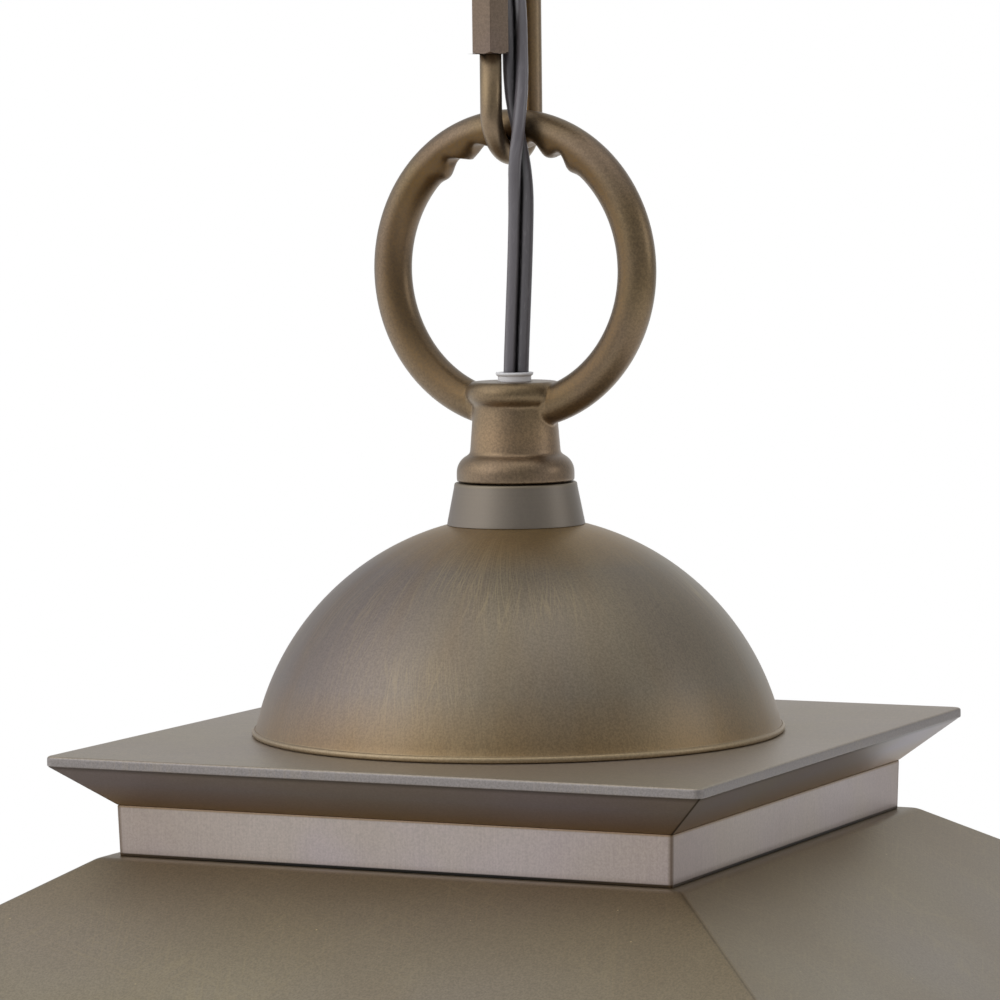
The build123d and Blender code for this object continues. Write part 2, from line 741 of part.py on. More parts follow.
def cluster_body():
    top, foot = cluster_top, cluster_top - cluster_height
    hollow = rod(cluster_r - 3 * cluster_wall, foot + 3 * cluster_wall, stem_foot - 3 * cluster_wall)
    socket = rod(stem_r + thread_gap, stem_foot, top)
    wires = rod(nipple_bore_r, stem_foot - 3 * cluster_wall, stem_foot)
    return on_plate(cluster_body_solid() - hollow - socket - wires)


def cluster_knob():
    """Small turned drop that closes the cluster from below."""
    foot = cluster_top - cluster_height
    tip = foot - cluster_knob_drop
    tip_r = cluster_knob_r / 5
    edge = Polyline((tip_r, tip), (0, tip), (0, foot), (cluster_knob_r, foot), (cluster_knob_r, foot - 1.6),
                    (0.6 * cluster_knob_r, foot - 3.2))
    ball = ThreePointArc((0.6 * cluster_knob_r, foot - 3.2), (cluster_knob_r, (foot + tip) / 2 - 1.0),
                         (tip_r, tip))
    return on_plate(turned(edge + ball))


def candle_places():
    """Plan angles of the candles, on the diagonals of the cage."""
    return [45 + index * 360 / candle_count for index in range(candle_count)]


def around(piece):
    """One copy of a piece for each candle, as separate solids."""
    return on_plate(Compound(children=[Rot(0, 0, angle) * piece for angle in candle_places()]))


def cluster_arms():
    """Bent tubes from the body out, down and up to the drip cups."""
    start_z = cluster_top - 0.45 * cluster_height
    dip_z = start_z - arm_dip
    route = [(0.5 * cluster_r, 0, start_z), (cluster_r + 8.0, 0, start_z), (cluster_r + 14.0, 0, dip_z),
             (candle_reach, 0, dip_z), (candle_reach, 0, cup_floor)]
    path = FilletPolyline(*route, radius=6.5)
    arm = sweep(Plane(origin=route[0], z_dir=(1, 0, 0)) * Circle(arm_r), path=path)
    return around(arm - cluster_body_solid())


def drip_cups():
    """Shallow flared cups under the candles."""
    floor_r = candle_r + 1.0
    profile = Polyline(
        (0, cup_floor), (floor_r, cup_floor), (cup_r, cup_floor + cup_height),
        (cup_r - cup_wall, cup_floor + cup_height), (floor_r - cup_wall / 2, cup_floor + cup_wall),
        (0, cup_floor + cup_wall), close=True)
    return around(Pos(candle_reach, 0, 0) * turned(profile))


def candle_sleeves():
    low = cup_floor + cup_wall
    tube = rod(candle_r, low, low + candle_height) - rod(candle_r - candle_wall, low, low + candle_height)
    return around(Pos(candle_reach, 0, 0) * tube)


def lamp_low():
    return cup_floor + cup_wall + candle_height - lamp_base_height


def sockets():
    """Candelabra sockets on posts inside the sleeves."""
    low = cup_floor + cup_wall
    top = low + candle_height - 1.0
    shell = rod(socket_r, top - socket_height, top) - rod(lamp_base_r + thread_gap, lamp_low(), top)
    post = rod(arm_r, low, top - socket_height)
    return around(Pos(candle_reach, 0, 0) * (shell + post))


def lamp_bases():
    base = rod(lamp_base_r, lamp_low(), lamp_low() + lamp_base_height)
    return around(Pos(candle_reach, 0, 0) * base)


def lamp_bulbs():
    """Flame-shaped envelopes on the lamp bases."""
    low = lamp_low() + lamp_base_height
    wide_z = low + 0.36 * bulb_height
    neck = Polyline((0, low), (bulb_neck_r, low))
    swell = ThreePointArc((bulb_neck_r, low), (0.8 * bulb_r, low + 0.15 * bulb_height), (bulb_r, wide_z))
    flame = ThreePointArc((bulb_r, wide_z), (0.72 * bulb_r, low + 0.66 * bulb_height),
                          (0.12 * bulb_r, low + bulb_height))
    tip = Polyline((0.12 * bulb_r, low + bulb_height), (0, low + bulb_height), (0, low))
    return around(Pos(candle_reach, 0, 0) * turned(neck + swell + flame + tip))


def corner_radii(points):
    """Radius for each corner of the cord's route, as large as its two runs allow."""
    radii = []
    for before, at, after in zip(points, points[1:], points[2:]):
        run_in, run_out = Vector(*at) - Vector(*before), Vector(*after) - Vector(*at)
        half_turn = radians(run_in.get_angle(run_out) / 2)
        radii.append(0.45 * min(run_in.length, run_out.length) / tan(half_turn))
    return radii


def cord_points():
    """The route with its tail down the stem, in even runs with a slight waver."""
    x, y, z = cord_route[-1]
    end = plate_z + stem_foot - cord_floor_drop
    tail = [(x + 0.1 * (i % 2), y, z + (end - z) * i / tail_runs) for i in range(1, tail_runs + 1)]
    return cord_route + tail


def cord_pieces():
    """The cord's tube, cut level across where one moving piece hands it to the next."""
    points = cord_points()
    radii = corner_radii(points)
    print("cord radii", [round(r, 1) for r in radii])
    path = FilletPolyline(*points, radius=radii)
    tube = sweep(Plane(origin=cord_route[0], z_dir=(0, 0, -1)) * Circle(cord_r), path=path)
    section = 3.14159 * cord_r ** 2
    print("cord length", round(path.length, 1), "volume share", round(tube.volume / section / path.length, 4))
    levels = [0.0] + cord_cuts + [points[-1][2] - cord_r]
    pieces = []
    for high, low in zip(levels, levels[1:]):
        slab = Pos(0, 0, (high + low) / 2) * Box(canopy_r, canopy_r, high - low)
        pieces.append(chain_frame(tube & slab))
    return pieces


def build():
    """Every sub-part by name."""
    nodes = {
        "crossbar": crossbar(),
        "ground_screw": ground_screw(),
        "canopy": canopy(),
        "canopy_nipple": canopy_nipple(),
        "canopy_lock_nut": lock_nut(-strap_thick - nut_height),
        "canopy_ring_nut": canopy_ring_nut(),
        "canopy_loop": canopy_loop(),
        "quick_link": quick_link(),
        "quick_link_sleeve": quick_link_sleeve(),
        "loop_hub": loop_hub(),
        "cord_bushing": cord_bushing(),
        "tapered_collar": tapered_collar(),
        "dome": dome(),
        "cap_plate": cap_plate(),
        "cap_soffit": cap_soffit(),
        "neck_band": neck_band(),
        "roof": roof(),
        "eave_ceiling": eave_ceiling(),
        "roof_brace": roof_brace(),
        "roof_lock_nut": on_plate(lock_nut(stem_top)),
        "centre_nipple": centre_nipple(),
        "cornice_frame": cornice_frame(),
        "post_front_left": corner_post(-1, -1),
        "post_front_right": corner_post(1, -1),
        "post_back_left": corner_post(-1, 1),
        "post_back_right": corner_post(1, 1),
        "glass_right": glass_pane(90),
        "glass_back": glass_pane(180),
        "glass_left": glass_pane(270),
        "sill_frame": sill_frame(),
        "base_tray": base_tray(),
        "base_pan": base_pan(),
        "bottom_finial": bottom_finial(),
        "door_frame": door_frame(),
        "door_glass": door_glass(),
        "door_leaves": door_leaves(),
        "door_knob": door_knob(),
        "post_leaves": post_leaves(),
        "hinge_pins": hinge_pins(),
        "door_catch": door_catch(),
        "stem": stem(),
        "cluster_body": cluster_body(),
        "cluster_knob": cluster_knob(),
        "cluster_arms": cluster_arms(),
        "drip_cups": drip_cups(),
        "candle_sleeves": candle_sleeves(),
        "sockets": sockets(),
        "lamp_bases": lamp_bases(),
        "lamp_bulbs": lamp_bulbs(),
    }
    for index in range(link_count):
        nodes[f"chain_link_{index + 1}"] = chain_link(index)
    for index, piece in enumerate(cord_pieces()):
        nodes[f"cord_{index + 1}"] = piece
    return nodes


os.makedirs("parts", exist_ok=True)
for name, shape in build().items():
    export_step(shape, f"parts/{name}.step")
print("plate top at", round(plate_z, 2), "lowest point", round(plate_z + pan_foot - finial_length, 2))
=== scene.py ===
import json
from functools import partial
from math import atan2, cos, degrees, exp, pi, radians, sin, sqrt, tau

import bmesh
import bpy
from bpy.props import FloatProperty, FloatVectorProperty, IntProperty
from mathutils import Matrix, Vector


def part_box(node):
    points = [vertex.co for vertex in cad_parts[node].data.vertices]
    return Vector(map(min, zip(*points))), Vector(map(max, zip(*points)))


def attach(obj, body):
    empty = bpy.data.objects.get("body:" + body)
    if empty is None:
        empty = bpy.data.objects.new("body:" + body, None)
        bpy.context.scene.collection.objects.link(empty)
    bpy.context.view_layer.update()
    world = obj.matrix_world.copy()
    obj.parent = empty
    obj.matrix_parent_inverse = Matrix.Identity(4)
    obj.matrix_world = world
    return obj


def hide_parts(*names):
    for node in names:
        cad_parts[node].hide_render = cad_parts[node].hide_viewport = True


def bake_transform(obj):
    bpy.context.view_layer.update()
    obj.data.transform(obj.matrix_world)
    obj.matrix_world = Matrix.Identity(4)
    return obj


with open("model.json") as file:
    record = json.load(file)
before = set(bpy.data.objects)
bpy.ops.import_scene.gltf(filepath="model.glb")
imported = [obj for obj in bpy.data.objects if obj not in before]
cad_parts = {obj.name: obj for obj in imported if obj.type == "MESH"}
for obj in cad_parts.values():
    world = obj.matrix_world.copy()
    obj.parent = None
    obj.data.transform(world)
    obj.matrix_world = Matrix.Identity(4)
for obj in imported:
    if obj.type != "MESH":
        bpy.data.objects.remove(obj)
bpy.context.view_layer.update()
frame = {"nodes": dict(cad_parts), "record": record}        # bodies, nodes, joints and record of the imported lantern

bl_info = {
    "name": "Hanging Lantern",
    "version": (1, 0, 0),
    "blender": (4, 5, 0),
    "location": "3D View > Sidebar > Lantern",
    "description": "Finishes and details a square porch lantern that hangs from a chain",
    "category": "Add Mesh",
}

nodes = frame["nodes"]
node_body = {node: body for body, members in frame["record"]["behaviour"]["bodies"].items()
             for node in members}
node_slot = {row["node"]: row["material_slot"] for row in frame["record"]["subparts"]}

# Sizes in mm, angles in radians; heights are above the cap plate's top face, which plate_z gives in metres
mm = 0.001
plate_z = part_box("cap_plate")[1].z
loop_turn = radians(-4.86)            # the ring's and chain's turn about the upright
sheet = 1.2
nipple_hole = 5.35

dome_r = 63.5
dome_rise = 52.1
dome_wall = 1.0
dome_sphere_r = (dome_r ** 2 + dome_rise ** 2) / (2 * dome_rise)
dome_sphere_z = dome_rise - dome_sphere_r
dome_foot = 2.4                       # the sphere starts here, above the rolled lip
dome_top_angle = 1.487                # and ends under the collar
dome_steps = 72
lip_r = 64.12
cool_reflection_heading = radians(-150.0)       # the side of the dome where a cool reflection is painted

loop_r = 33.7
loop_wire_r = 4.6
loop_height = 111.0
side_notches = (-32.0, -16.5, 13.3, 27.5)     # degrees from the top of the ring
side_teeth = (-39.5, -26.0, 20.5, 35.0)
notch_lowest = 10.0                   # above the ring's middle
notch_depth = 1.0
notch_width = 3.4                     # degrees
tooth_height = 0.75
tooth_width = 3.6                     # degrees
hub_base = 60.35
hub_neck = 71.0
hub_neck_half = 9.0
hub_top = 84.3
hub_half = 11.0
bushing_bore = 3.3                    # radii of the bushing
bushing_shank = 3.8
bushing_neck = 4.0
bushing_rim = 4.5
bushing_rise = 2.2
bushing_sunk = 6.0
collar_top_r = 14.7
collar_foot_r = 16.6

plate_half = 83.1
plate_edge = 2.4
seam_gap = 0.01
band_top = -12.3
band_top_half = 70.85
band_foot_half = 70.5
roof_flat = -24.4
roof_flat_half = 74.2
roof_slope = 0.572
eave_half = 158.75
fascia_height = 12.0
bead_height = 3.0
bead_reach = 1.6
knurl_sunk = 0.25

# The lamps: their necks and mounts as (radius, height), their flames as (radius, share of the height)
lamp_neck = [(5.2, 0.3), (5.5, 1.2)]
flame_profile = ((8.4, 0.1), (13.2, 0.19), (16.4, 0.28), (17.35, 0.36), (16.9, 0.45), (14.9, 0.56),
                 (11.6, 0.68), (7.6, 0.80), (4.4, 0.89), (2.3, 0.955), (0.9, 0.99))
mount_profile = ((0.2, 0.4), (4.4, 0.4), (3.0, 8.0), (1.9, 16.0), (1.6, 22.0), (0.2, 23.0))
lamp_wall = 0.55
lead_foot = 14.0
filament_rise = 33.0
filament_half = 5.5
filament_bow = 6.0


def linear(code):
    """Turns an sRGB hex colour into linear red, green and blue."""
    parts = [int(code[i:i + 2], 16) / 255 for i in (1, 3, 5)]
    return tuple(c / 12.92 if c <= 0.04045 else ((c + 0.055) / 1.055) ** 2.4 for c in parts)


class LanternSizes(bpy.types.PropertyGroup):
    """Sizes of the details that the solids leave out"""
    edge_radius: FloatProperty(
        name="Edge radius", description="Radius on the folded and filed edges of the metal",
        default=0.3 * mm, min=0.05 * mm, max=mm, precision=5, unit="LENGTH")
    corner_radius: FloatProperty(
        name="Corner radius", description="Radius at the mitred corners of the roof",
        default=1.2 * mm, min=0.1 * mm, max=3 * mm, precision=5, unit="LENGTH")
    casting_grain: FloatProperty(
        name="Casting grain", description="Size of the faces that round off the cast ring",
        default=0.42 * mm, min=0.3 * mm, max=mm, precision=5, unit="LENGTH")
    conductor_radius: FloatProperty(
        name="Conductor radius", description="Radius of one insulated conductor of the flat cord",
        default=1.55 * mm, min=mm, max=3 * mm, precision=5, unit="LENGTH")
    conductor_reach: FloatProperty(
        name="Conductor spacing", description="From the flat cord's middle to a conductor's middle",
        default=1.5 * mm, min=mm, max=3 * mm, precision=5, unit="LENGTH")
    knurl_count: IntProperty(
        name="Knurl ridges", description="Ridges round the ring that holds the canopy",
        default=72, min=12, max=144)
    knurl_height: FloatProperty(
        name="Knurl height", description="How far a ridge stands out of the ring",
        default=0.35 * mm, min=0.1 * mm, max=mm, precision=5, unit="LENGTH")
    filament_radius: FloatProperty(
        name="Filament radius", description="Radius of the filament's coil, thick enough to show",
        default=0.35 * mm, min=0.1 * mm, max=mm, precision=5, unit="LENGTH")


class LanternColours(bpy.types.PropertyGroup):
    """Colours of the finishes"""
    dome: FloatVectorProperty(
        name="Dome", description="Bronze wash on the dome and the canopy", subtype="COLOR", size=3,
        min=0, max=1, default=linear("#817664"))
    plate: FloatVectorProperty(
        name="Cap plate", description="Bronze wash on the cap plate", subtype="COLOR", size=3,
        min=0, max=1, default=linear("#a89d8b"))
    soffit: FloatVectorProperty(
        name="Soffit", description="Bronze wash on the sloping soffit", subtype="COLOR", size=3,
        min=0, max=1, default=linear("#a6a09f"))
    band: FloatVectorProperty(
        name="Band", description="Pale brushed wash on the upright band", subtype="COLOR", size=3,
        min=0, max=1, default=linear("#b6aba4"))
    roof: FloatVectorProperty(
        name="Roof and frames", description="Oiled bronze on the roof, posts, door and tray",
        subtype="COLOR", size=3, min=0, max=1, default=linear("#9c927d"))
    collar: FloatVectorProperty(
        name="Collar", description="Slate bronze wash on the turned collar", subtype="COLOR", size=3,
        min=0, max=1, default=linear("#82796e"))
    casting: FloatVectorProperty(
        name="Castings", description="Bronze wash on the ring, hub and finial", subtype="COLOR", size=3,
        min=0, max=1, default=linear("#7c694c"))
    chain: FloatVectorProperty(
        name="Chain", description="Bronze wash on the links and the quick link", subtype="COLOR", size=3,
        min=0, max=1, default=linear("#8b7759"))
    # Also the colour of the painted shade before the mitres and on the ring
    patina_and_shade: FloatVectorProperty(
        name="Patina", description="Golden brown where the wash is rubbed thin", subtype="COLOR", size=3,
        min=0, max=1, default=linear("#7a5a28"))
    glass: FloatVectorProperty(
        name="Glass", description="Tint of the panes", subtype="COLOR", size=3,
        min=0, max=1, default=linear("#f4f8f6"))
    cord: FloatVectorProperty(
        name="Cord", description="Colour of the cord's insulation", subtype="COLOR", size=3,
        min=0, max=1, default=linear("#6b676d"))


# Materials

cool_tint = (0.94, 0.93, 1.22)        # how a cool cloud and the painted cool reflection turn red, green and blue from olive to slate
# Brush lines to a millimetre, along each way that the pattern is laid
brush_counts = {
    "around": {"out": 2.2, "up": 2.2},
    "upright": {"across": 2.0, "up": 0.09},
    "level": {"x": 0.06, "y": 1.1, "up": 1.1},
    "none": {"x": 0.9, "y": 0.9, "up": 0.9},
}
# On a turned piece: cells round a radian, and cells up a metre
fan_lines = (110.0, 70.0)
fan_clouds = (2.4, 12.0)
fan_hairs = (64.0, 30.0)
hair_size = (1.1 * mm, 50 * mm, 50 * mm)
hair_turns = (0.35, 1.25, -0.6)       # radians, on flat pieces
hair_leans = (-5.5, 2.0, 4.5)         # radians to a metre of height, on turned pieces
hair_half = 0.04
bump_depth = 0.03 * mm


def add_node(tree, kind, feeds=(), **settings):
    """Adds a node, feeds its inputs with values or other nodes' outputs, and gives back its outputs."""
    made = tree.nodes.new(kind)
    for key, value in settings.items():
        setattr(made, key, value)
    for key, value in feeds.items() if isinstance(feeds, dict) else enumerate(feeds):
        if isinstance(value, bpy.types.NodeSocket):
            tree.links.new(value, made.inputs[key])
        else:
            made.inputs[key].default_value = value
    return made.outputs


def new_material(name):
    """A material with an empty tree, and the function that adds nodes to it."""
    material = bpy.data.materials.new(name)
    material.use_nodes = True
    material.node_tree.nodes.clear()
    return material, partial(add_node, material.node_tree)


def four(colour):
    """A colour with full alpha."""
    return (*colour, 1.0)


def distance_out(add, parts):
    """Distance from the upright axis."""
    squares = [add("ShaderNodeMath", (parts[i], parts[i]), operation="MULTIPLY")[0] for i in (0, 1)]
    total = add("ShaderNodeMath", squares, operation="ADD")[0]
    return add("ShaderNodeMath", (total,), operation="SQRT")[0]


def fan_lay(add, place, flat_r, around_count, up_count, lean=0.0):
    """Coordinates that draw a pattern out down the sides of a turned piece, leaning with the height."""
    if lean:
        height = add("ShaderNodeSeparateXYZ", (place,))[2]
        swing = add("ShaderNodeMath", (height, lean), operation="MULTIPLY")[0]
        place = add("ShaderNodeVectorRotate", {0: place, "Angle": swing}, rotation_type="Z_AXIS")[0]
    spun = add("ShaderNodeSeparateXYZ", (place,))
    lay = []
    for i in (0, 1):
        share = add("ShaderNodeMath", (spun[i], flat_r), operation="DIVIDE")[0]
        lay.append(add("ShaderNodeMath", (share, around_count), operation="MULTIPLY")[0])
    lay.append(add("ShaderNodeMath", (spun[2], up_count), operation="MULTIPLY")[0])
    return add("ShaderNodeCombineXYZ", lay)[0]


def brush_lay(add, brush, parts, flat_r):
    """Coordinates that draw the brush lines out one way."""
    both = add("ShaderNodeMath", (parts[0], parts[1]), operation="ADD")[0]
    ways = {"x": parts[0], "y": parts[1], "up": parts[2], "out": flat_r, "across": both}
    lay = [add("ShaderNodeMath", (ways[way], count / mm), operation="MULTIPLY")[0]
           for way, count in brush_counts[brush].items()]
    return add("ShaderNodeCombineXYZ", lay)[0]


def hairlines(add, place, flat_r, fanned):
    """Scratches 0.2 mm wide and 5 to 20 mm long, in loose patches: thin level lines of a drawn-out noise."""
    patches = add("ShaderNodeTexNoise", {"Vector": place, "Scale": 0.034 / mm, "Detail": 1.0})["Fac"]
    where = add("ShaderNodeMapRange", (patches, 0.42, 0.62, 0.2, 1.0))[0]
    hairs = 0.0
    for turn, lean in zip(hair_turns, hair_leans):
        if fanned:
            skew = fan_lay(add, place, flat_r, *fan_hairs, lean)
        else:
            skew = add("ShaderNodeMapping", {0: place, "Rotation": (0.0, 0.0, turn), "Scale": hair_size},
                       vector_type="TEXTURE")[0]
        hair = add("ShaderNodeTexNoise", {"Vector": skew, "Scale": 1.0, "Detail": 0.0})["Fac"]
        from_level = add("ShaderNodeMath", (hair, 0.5), operation="SUBTRACT")[0]
        off_level = add("ShaderNodeMath", (from_level,), operation="ABSOLUTE")[0]
        fine = add("ShaderNodeMapRange", (off_level, 0.0, hair_half, 1.0, 0.0))[0]
        hairs = add("ShaderNodeMath", (hairs, fine), operation="MAXIMUM")[0]
    return add("ShaderNodeMath", (hairs, where), operation="MULTIPLY")[0]


def corner_layers(add, parts, patina_and_shade, corner_line, corner_shade):
    """A thin line in the mitres, and painted shade over the last few centimetres before them."""
    layers = []
    sides = [add("ShaderNodeMath", (parts[i],), operation="ABSOLUTE")[0] for i in (0, 1)]
    apart = add("ShaderNodeMath", sides, operation="SUBTRACT")[0]
    off = add("ShaderNodeMath", (apart,), operation="ABSOLUTE")[0]
    if corner_line:
        width, strength, line_colour, from_half = corner_line
        near = add("ShaderNodeMapRange", (off, 0.35 * width * mm, width * mm, strength, 0.0))[0]
        edge = add("ShaderNodeMath", sides, operation="MAXIMUM")[0]
        outside = add("ShaderNodeMath", (edge, from_half * mm), operation="GREATER_THAN")[0]
        layers.append((add("ShaderNodeMath", (near, outside), operation="MULTIPLY")[0], linear(line_colour)))
    if corner_shade:
        reach, strength = corner_shade
        painted_corner_shade = add("ShaderNodeMapRange", (off, 0.0, reach * mm, strength, 0.0),
                   interpolation_type="SMOOTHSTEP")[0]
        layers.append((painted_corner_shade, patina_and_shade))
    return layers


def brass_specks(add, place, strength):
    """Specks of bare brass, about 0.3 mm across and 10 mm apart."""
    cells = add("ShaderNodeTexVoronoi", {"Vector": place, "Scale": 0.42 / mm})
    pick = add("ShaderNodeSeparateXYZ", (cells["Color"],))[0]
    few = add("ShaderNodeMath", (pick, 0.955), operation="GREATER_THAN")[0]
    dot = add("ShaderNodeMapRange", (cells["Distance"], 0.05, 0.11, strength, 0.0))[0]
    return add("ShaderNodeMath", (few, dot), operation="MULTIPLY")[0]


def golden_share(add, blotch, mottle, patinated):
    """How far the golden brown shows: in blotches, where the mesh marks patina and painted shade, and on its worn
    edges.
    """
    worn = add("ShaderNodeAttribute", attribute_name="worn")["Fac"]
    thin = add("ShaderNodeAttribute", attribute_name="patina_and_shade")["Fac"]
    blotchy = add("ShaderNodeMapRange", (blotch, 0.40, 0.75), interpolation_type="SMOOTHSTEP")[0]
    blotchy = add("ShaderNodeMath", (blotchy, patinated), operation="MULTIPLY")[0]
    grainy = add("ShaderNodeMath", (mottle, 0.9, 0.52), operation="MULTIPLY_ADD")[0]
    thin = add("ShaderNodeMath", (thin, grainy), operation="MULTIPLY")[0]
    golden_and_shade = add("ShaderNodeMath", (blotchy, thin), operation="MAXIMUM")[0]
    edges = add("ShaderNodeMath", (worn, 0.3), operation="MULTIPLY")[0]
    golden_and_shade = add("ShaderNodeMath", (golden_and_shade, edges), operation="ADD")[0]
    return add("ShaderNodeMath", (golden_and_shade, 1.0), operation="MINIMUM")[0]


def slate_share(add, clouds, clouded, place, flat_r, cool_reflection_side):
    """How far the hue shifts from olive to slate: in clouds, and down one side as a painted cool reflection."""
    slate = add("ShaderNodeMapRange", (clouds, 0.30, 0.70, 0.0, clouded), interpolation_type="SMOOTHSTEP")[0]
    if cool_reflection_side:
        # A painted cool reflection down one side of the spun piece
        heading = (cos(cool_reflection_heading), sin(cool_reflection_heading), 0.0)
        toward = add("ShaderNodeVectorMath", (place, heading), operation="DOT_PRODUCT")["Value"]
        side = add("ShaderNodeMath", (toward, flat_r), operation="DIVIDE")[0]
        shift = add("ShaderNodeMapRange", (side, 0.2, 0.95, 0.0, cool_reflection_side),
                    interpolation_type="SMOOTHSTEP")[0]
        slate = add("ShaderNodeMath", (slate, shift), operation="MAXIMUM")[0]
    return slate


def bronze_finish(name, tone, patina_and_shade, brush, roughness=0.45, cloud=35.0, clouded=0.5, brushed=0.05,
                  mottled=0.06, scratched=0.0, specks=0.0, patinated=0.15, cool_reflection_side=0.0, corner_line=None,
                  corner_shade=None, levels=(), coated=0.6):
    """Satin bronze wash on metal: soft cool clouds, brush lines, hairlines and golden wear at the edges.

    Sizes are in mm; levels are (low, high, share at low, share at high, colour) above the plate's top.
    corner_line is (width, strength, colour, half width where it starts) and the painted corner_shade (reach,
    strength).
    """
    material, add = new_material(name)
    place = add("ShaderNodeTexCoord")["Object"]
    parts = add("ShaderNodeSeparateXYZ", (place,))
    flat_r = distance_out(add, parts)
    fanned = brush == "fan"
    lines = fan_lay(add, place, flat_r, *fan_lines) if fanned else brush_lay(add, brush, parts, flat_r)
    drift = fan_lay(add, place, flat_r, *fan_clouds) if fanned else place
    cloud_scale = 1.0 if fanned else 1 / (cloud * mm)
    strokes = add("ShaderNodeTexNoise", {
        "Vector": lines, "Scale": 1.0, "Detail": 3.0, "Roughness": 0.6})["Fac"]
    clouds = add("ShaderNodeTexNoise", {
        "Vector": drift, "Scale": cloud_scale, "Detail": 1.0, "Distortion": 0.3})["Fac"]
    # Grain of the wash, about 0.5 mm across
    mottle = add("ShaderNodeTexNoise", {
        "Vector": place, "Scale": 1.9 / mm, "Detail": 2.0, "Roughness": 0.7})["Fac"]
    blotch = add("ShaderNodeTexNoise", {"Vector": drift, "Scale": 1.7 * cloud_scale, "Detail": 2.0})["Fac"]

    # The colour is laid on in thin layers, each a share and a colour
    cool = [min(1.0, tint * part) for tint, part in zip(cool_tint, tone)]
    layers = [(slate_share(add, clouds, clouded, place, flat_r, cool_reflection_side), cool),
              (golden_share(add, blotch, mottle, patinated), patina_and_shade)]
    for low, high, low_share, high_share, level_colour in levels:
        share = add("ShaderNodeMapRange", (parts[2], plate_z + low * mm, plate_z + high * mm,
                                           low_share, high_share))[0]
        layers.append((share, linear(level_colour)))
    if corner_line or corner_shade:
        layers += corner_layers(add, parts, patina_and_shade, corner_line, corner_shade)
    if specks:
        layers.append((brass_specks(add, place, specks), linear("#e2cf9f")))
    colour = four(tone)
    for share, tint in layers:
        colour = add("ShaderNodeMix", {0: share, 6: colour, 7: four(tint)}, data_type="RGBA")[2]

    # The rubbed mark lightens the colour; on the ring's outside it is a painted highlight
    rubbed = add("ShaderNodeAttribute", attribute_name="rubbed")["Fac"]
    stroke_shade = add("ShaderNodeMapRange", (strokes, 0.25, 0.75, 1.0 - brushed, 1.0 + brushed))[0]
    mottle_shade = add("ShaderNodeMapRange", (mottle, 0.36, 0.64, 1.0 - mottled, 1.0 + mottled))[0]
    rub_and_highlight = add("ShaderNodeMath", (rubbed, 0.42, 1.0), operation="MULTIPLY_ADD")[0]
    shade = add("ShaderNodeMath", (mottle_shade, rub_and_highlight), operation="MULTIPLY")[0]
    shade = add("ShaderNodeMath", (stroke_shade, shade), operation="MULTIPLY")[0]
    colour = add("ShaderNodeVectorMath", {0: colour, "Scale": shade}, operation="SCALE")[0]
    stroke_height = add("ShaderNodeMath", (strokes, brushed * 3), operation="MULTIPLY")[0]
    mottle_height = add("ShaderNodeMath", (mottle, mottled * 3), operation="MULTIPLY")[0]
    height = add("ShaderNodeMath", (stroke_height, mottle_height), operation="ADD")[0]
    if scratched:
        scratch = hairlines(add, place, flat_r, fanned)
        scratch = add("ShaderNodeMath", (scratch, scratched), operation="MULTIPLY")[0]
        if fanned:
            # There are fewer of them near the dome's lip
            upward = add("ShaderNodeMapRange", (parts[2], plate_z + 8 * mm, plate_z + 34 * mm, 0.3, 1.0))[0]
            scratch = add("ShaderNodeMath", (scratch, upward), operation="MULTIPLY")[0]
        bare = four(linear("#cdb98a"))
        colour = add("ShaderNodeMix", {0: scratch, 6: colour, 7: bare}, data_type="RGBA")[2]
        height = add("ShaderNodeMath", (height, scratch), operation="SUBTRACT")[0]
    bump = add("ShaderNodeBump", {"Strength": 0.3, "Distance": bump_depth, "Height": height})[0]
    rough = add("ShaderNodeMapRange", (mottle, 0.2, 0.8, roughness - 0.06, roughness + 0.06))[0]
    shader = add("ShaderNodeBsdfPrincipled", {
        "Base Color": colour, "Metallic": 0.94, "Roughness": rough, "Normal": bump,
        "Coat Weight": coated, "Coat Roughness": 0.4})
    add("ShaderNodeOutputMaterial", (shader[0],))
    return material


def plain_metal(name, colour, roughness, second):
    """Bare or plated metal with fine dents, about 1 mm apart, and faint stains of a centimetre."""
    material, add = new_material(name)
    place = add("ShaderNodeTexCoord")["Object"]
    stain = add("ShaderNodeTexNoise", {"Vector": place, "Scale": 0.09 / mm, "Detail": 4.0})["Fac"]
    grain = add("ShaderNodeTexNoise", {"Vector": place, "Scale": 1.2 / mm, "Detail": 2.0})["Fac"]
    share = add("ShaderNodeMapRange", (stain, 0.4, 0.7))[0]
    tone = add("ShaderNodeMix", {0: share, 6: four(linear(colour)), 7: four(linear(second))},
               data_type="RGBA")[2]
    rough = add("ShaderNodeMapRange", {0: grain, 3: roughness - 0.08, 4: roughness + 0.08})[0]
    bump = add("ShaderNodeBump", {"Strength": 0.2, "Distance": 0.02 * mm, "Height": grain})[0]
    shader = add("ShaderNodeBsdfPrincipled", {
        "Base Color": tone, "Metallic": 1.0, "Roughness": rough, "Normal": bump})
    add("ShaderNodeOutputMaterial", (shader[0],))
    return material


def float_glass(name, colour):
    """Clear float glass with a faint green tint, waves of 3 cm and a little dust."""
    material, add = new_material(name)
    place = add("ShaderNodeTexCoord")["Object"]
    waves = add("ShaderNodeTexNoise", {"Vector": place, "Scale": 0.035 / mm, "Detail": 1.0})["Fac"]
    dust = add("ShaderNodeTexNoise", {"Vector": place, "Scale": 0.32 / mm, "Detail": 3.0})["Fac"]
    rough = add("ShaderNodeMapRange", (dust, 0.5, 0.8, 0.015, 0.07))[0]
    bump = add("ShaderNodeBump", {"Strength": 0.08, "Distance": 0.2 * mm, "Height": waves})[0]
    shader = add("ShaderNodeBsdfPrincipled", {
        "Base Color": four(colour), "Roughness": rough, "Normal": bump, "IOR": 1.45,
        "Transmission Weight": 1.0})
    add("ShaderNodeOutputMaterial", (shader[0],))
    return material


